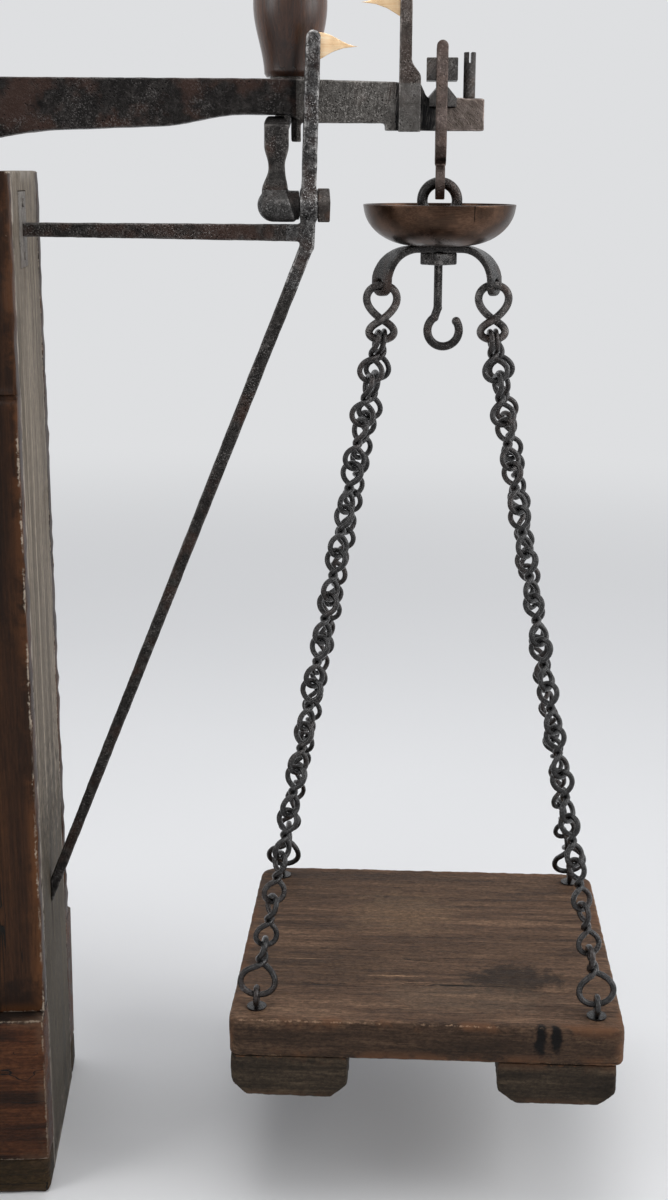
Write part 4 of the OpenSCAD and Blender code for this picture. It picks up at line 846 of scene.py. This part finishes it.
common = link("link_pattern", link_r, link_r, link_neck, link_wire, math.pi / 2, 10)
last = link("end_link_pattern", end_small_r, end_large_r + end_spread, end_neck - 2 * end_spread, end_wire,
            math.pi / 2, 10)
for node, sy in (("chains_near", -1), ("chains_far", 1)):
    links = []
    for sx in (-1, 1):
        corner = Matrix.Rotation(pan_turn, 3, "Z") @ Vector((sx * eye_x, sy * eye_y, 0))
        start = Vector((pan_x + sx * hang_x + sy * start_x, 0, start_z))
        eye = Vector((pan_x + corner.x, corner.y, pan_top + eye_up))
        way = eye - start
        slack = (way.length + end_grip - end_from - end_len) / link_count
        down = way.normalized()
        for i in range(link_count):
            near_end = max(0, 1 - i / 3, 1 - (link_count - i) / 3)
            settled = hang_roll + (end_roll - hang_roll) * near_end
            roll = math.radians(settled + sway * math.sin(i * 2.4 + sx + sy))
            links.append(hung(common, start + down * i * (link_pitch + slack), way, roll))
        links.append(hung(last, start + down * (end_from + link_count * slack), way, math.pi / 2))
    chains = join(node + "_links", links)
    stand_for(chains, node, "forged_iron", chain_iron)
for pattern in (common, last):
    bpy.data.objects.remove(pattern)

big = link("top_link_pattern", top_upper_r, top_lower_r, -top_overlap, top_wire, 0.0, 14, drop=top_drop)
tops = [hung(big, Vector((pan_x + sx * hang_x, 0, top_upper_z + top_upper_r)), Vector((0, 0, -1)), 0)
        for sx in (-1, 1)]
bpy.data.objects.remove(big)
stand_for(join("top_links_bent", tops), "top_links", "forged_iron", hanger_iron)


# Board eyes: rings of round iron on a shank, driven through a washer at each corner of the board.
# They are as black and oily as the chains that end in them.
board_eyes = cut_to("board_eyes", "board_eye_staples")
smooth(board_eyes, 60)
stand_for(board_eyes, "board_eyes", "forged_iron", chain_iron)


# Weight board: one thick board with two cleats nailed under it, hung by its corners.
# Dark, oily wood with a fine level grain and pale scratches, its edges rubbed to orange by iron weights.
BOARD_TONES = ((0.05, 0.029, 0.018), (0.106, 0.065, 0.043), (0.178, 0.115, 0.078))
BOARD_DARK = (0.018, 0.012, 0.0085)
BOARD_RUBBED = (0.14, 0.064, 0.031)
BOARD_CHIPPED = (0.38, 0.24, 0.15)
BOARD_PALE = (0.15, 0.098, 0.06)
BOARD_GREY = (0.14, 0.1, 0.07)
GOUGE_SHADE_BLACK = (0.002, 0.0015, 0.0015)
CLEAT_TONES = ((0.017, 0.012, 0.008), (0.036, 0.027, 0.019), (0.068, 0.052, 0.037))
board_half = (0.15, 0.142)
board_turn = (-pan_turn, -(Matrix.Rotation(-pan_turn, 3, "Z") @ Vector((pan_x, 0, 0))))
cleat_low, cleat_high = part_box("cleats")


def board_box(bottom, top):
    """Corners of the board, or of its cleats, in the board's own unturned place."""
    return Vector((-board_half[0], -board_half[1], bottom)), Vector((board_half[0], board_half[1], top))


weight_board = forged(cut_to("weight_board", "weight_board_timber"), 0.0018, 6, 0.0011)
board_marks = (((0.07, -0.066, pan_top), (0.05, 0.03, 0.02), BOARD_DARK, 0.85),
               ((-0.06, -0.05, pan_top), (0.12, 0.04, 0.02), BOARD_DARK, 0.3),
               ((0.0, 0.1, pan_top), (0.2, 0.05, 0.02), BOARD_DARK, 0.3),
               ((-0.02, 0.05, pan_top), (0.06, 0.05, 0.02), BOARD_PALE, 0.5),
               ((0.03, -0.1, pan_top), (0.09, 0.03, 0.02), BOARD_GREY, 0.35),
               ((-0.03, -0.066, pan_top), (0.035, 0.0012, 0.01), BOARD_CHIPPED, 0.5),
               ((-0.1, -0.04, pan_top), (0.03, 0.001, 0.01), BOARD_CHIPPED, 0.5),
               ((0.0, -board_half[1], pan_top - 0.02), (0.3, 0.006, 0.03), BOARD_DARK, 0.6),
               # Painted shade: two near-black gouges in the near face, the shade inside notches that the
               # board's shape does not have.
               ((0.0866, -board_half[1], pan_top - 0.011), (0.0055, 0.01, 0.022), GOUGE_SHADE_BLACK, 1.0),
               ((0.0985, -board_half[1], pan_top - 0.009), (0.006, 0.01, 0.018), GOUGE_SHADE_BLACK, 1.0))
board_wood = timber("board_wood", ALONG_X, BOARD_TONES, BOARD_RUBBED, board_box(board_low.z, pan_top), 71,
                    cracks=0.003, wear=0.0034, chipped=BOARD_CHIPPED, chips=0.6, marks=board_marks,
                    turned=board_turn, stain=0.35, streaks=(9, 120), fibres=(30, 760), grit=0.8)
stand_for(weight_board, "weight_board", "board_wood", board_wood)
cleats = forged(cut_to("cleats", "cleats_timber"), 0.0015, 12, 0.0014)
cleat_wood = timber("cleat_wood", ALONG_X, CLEAT_TONES, BOARD_RUBBED, board_box(cleat_low.z, cleat_high.z),
                    73, cracks=0.006, wear=0.0025, turned=board_turn, streaks=(14, 110), fibres=(40, 700),
                    worn=0.35, grit=0.8)
stand_for(cleats, "cleats", "board_wood", cleat_wood)


# Studio: a wide pale floor that fades into a backdrop of the same tone on all sides, two soft lamps at the
# sides, one overhead, and the camera. Camera and mirror rays see the backdrop, which lights nothing itself.
FLOOR = (0.765, 0.765, 0.765)
BACKDROP = (0.73, 0.738, 0.752)


def seen(tree):
    """1 for rays from the camera, from gloss and through glass, 0 for soft light."""
    rays = step(tree, "LightPath", {}).outputs
    return sums(tree, "MAXIMUM", sums(tree, "MAXIMUM", rays["Is Camera Ray"], rays["Is Glossy Ray"]),
                rays["Is Transmission Ray"])


bpy.ops.mesh.primitive_plane_add(size=80)
studio_floor = bpy.context.view_layer.objects.active
studio_floor.name = "studio_floor"
paper = bpy.data.materials.new("floor_paper")
paper.use_nodes = True
tree = paper.node_tree
place = step(tree, "TexCoord", {}).outputs["Object"]
skin = tree.nodes["Principled BSDF"]
tree.links.new(coat(tree, cloud(tree, place, 1.4, 2), FLOOR, tuple(tone * 1.05 for tone in FLOOR)),
               skin.inputs["Base Color"])
skin.inputs["Roughness"].default_value = 0.95
reach = step(tree, "VectorMath", {0: place}, operation="LENGTH").outputs["Value"]
far = step(tree, "Emission", {"Color": (*BACKDROP, 1)}).outputs[0]
faded = times(tree, fade(tree, reach, 0.9, 3.6), seen(tree))
paper_mix = step(tree, "MixShader", {0: faded, 1: skin.outputs[0], 2: far})
tree.links.new(paper_mix.outputs[0], tree.nodes["Material Output"].inputs["Surface"])
studio_floor.data.materials.append(paper)


def soft_lamp(name, place, aim, size, watts):
    """A large square lamp that looks at a point."""
    lamp = bpy.data.lights.new(name, "AREA")
    lamp.shape = "RECTANGLE"
    lamp.size, lamp.size_y = size
    lamp.energy = watts
    holder = bpy.data.objects.new(name, lamp)
    holder.location = place
    holder.rotation_euler = (Vector(aim) - Vector(place)).to_track_quat("-Z", "Y").to_euler()
    holder.visible_camera = False
    bpy.context.scene.collection.objects.link(holder)


soft_lamp("right_lamp", (2.3, -0.7, 1.5), (0.1, 0, 0.55), (1.4, 1.8), 34)
soft_lamp("left_lamp", (-2.1, -1.2, 1.6), (0.1, 0, 0.5), (1.4, 1.8), 26)
soft_lamp("overhead_lamp", (0.2, 0.1, 2.9), (0.1, 0.0, 0), (2.2, 2.0), 36)

world = bpy.data.worlds.new("studio_world")
world.use_nodes = True
tree = world.node_tree
air = tree.nodes["Background"]
air.inputs["Color"].default_value = (0.9, 0.93, 1.0, 1)
sky_way = step(tree, "SeparateXYZ", {0: step(tree, "TexCoord", {}).outputs["Generated"]}).outputs["Y"]
tree.links.new(fade(tree, sky_way, -1, 1, 0.18, 0.62), air.inputs["Strength"])
backdrop = step(tree, "Background", {"Color": (*BACKDROP, 1)}).outputs[0]
world_mix = step(tree, "MixShader", {0: seen(tree), 1: air.outputs[0], 2: backdrop})
tree.links.new(world_mix.outputs[0], tree.nodes["World Output"].inputs["Surface"])
bpy.context.scene.world = world
bpy.context.scene.view_settings.view_transform = "Standard"

FOCAL_PIXELS = 1638
PHOTO_HEIGHT = 1200
VIEW_DOWN, VIEW_RIGHT, VIEW_LEAN = 14.65, 3.13, 0.2
lens = bpy.data.cameras.new("camera")
lens.sensor_fit = "AUTO"
lens.sensor_width = 36
lens.lens = FOCAL_PIXELS / PHOTO_HEIGHT * lens.sensor_width
lens.clip_end = 20
camera = bpy.data.objects.new("camera", lens)
camera.location = (0.2538, -1.2503, 0.7838)
pan_right = Matrix.Rotation(math.radians(-VIEW_RIGHT), 3, "Z")
look_down = Matrix.Rotation(math.radians(90 - VIEW_DOWN), 3, "X")
lean = Matrix.Rotation(math.radians(VIEW_LEAN), 3, "Z")
camera.rotation_euler = (pan_right @ look_down @ lean).to_euler()
bpy.context.scene.collection.objects.link(camera)
bpy.context.scene.camera = camera
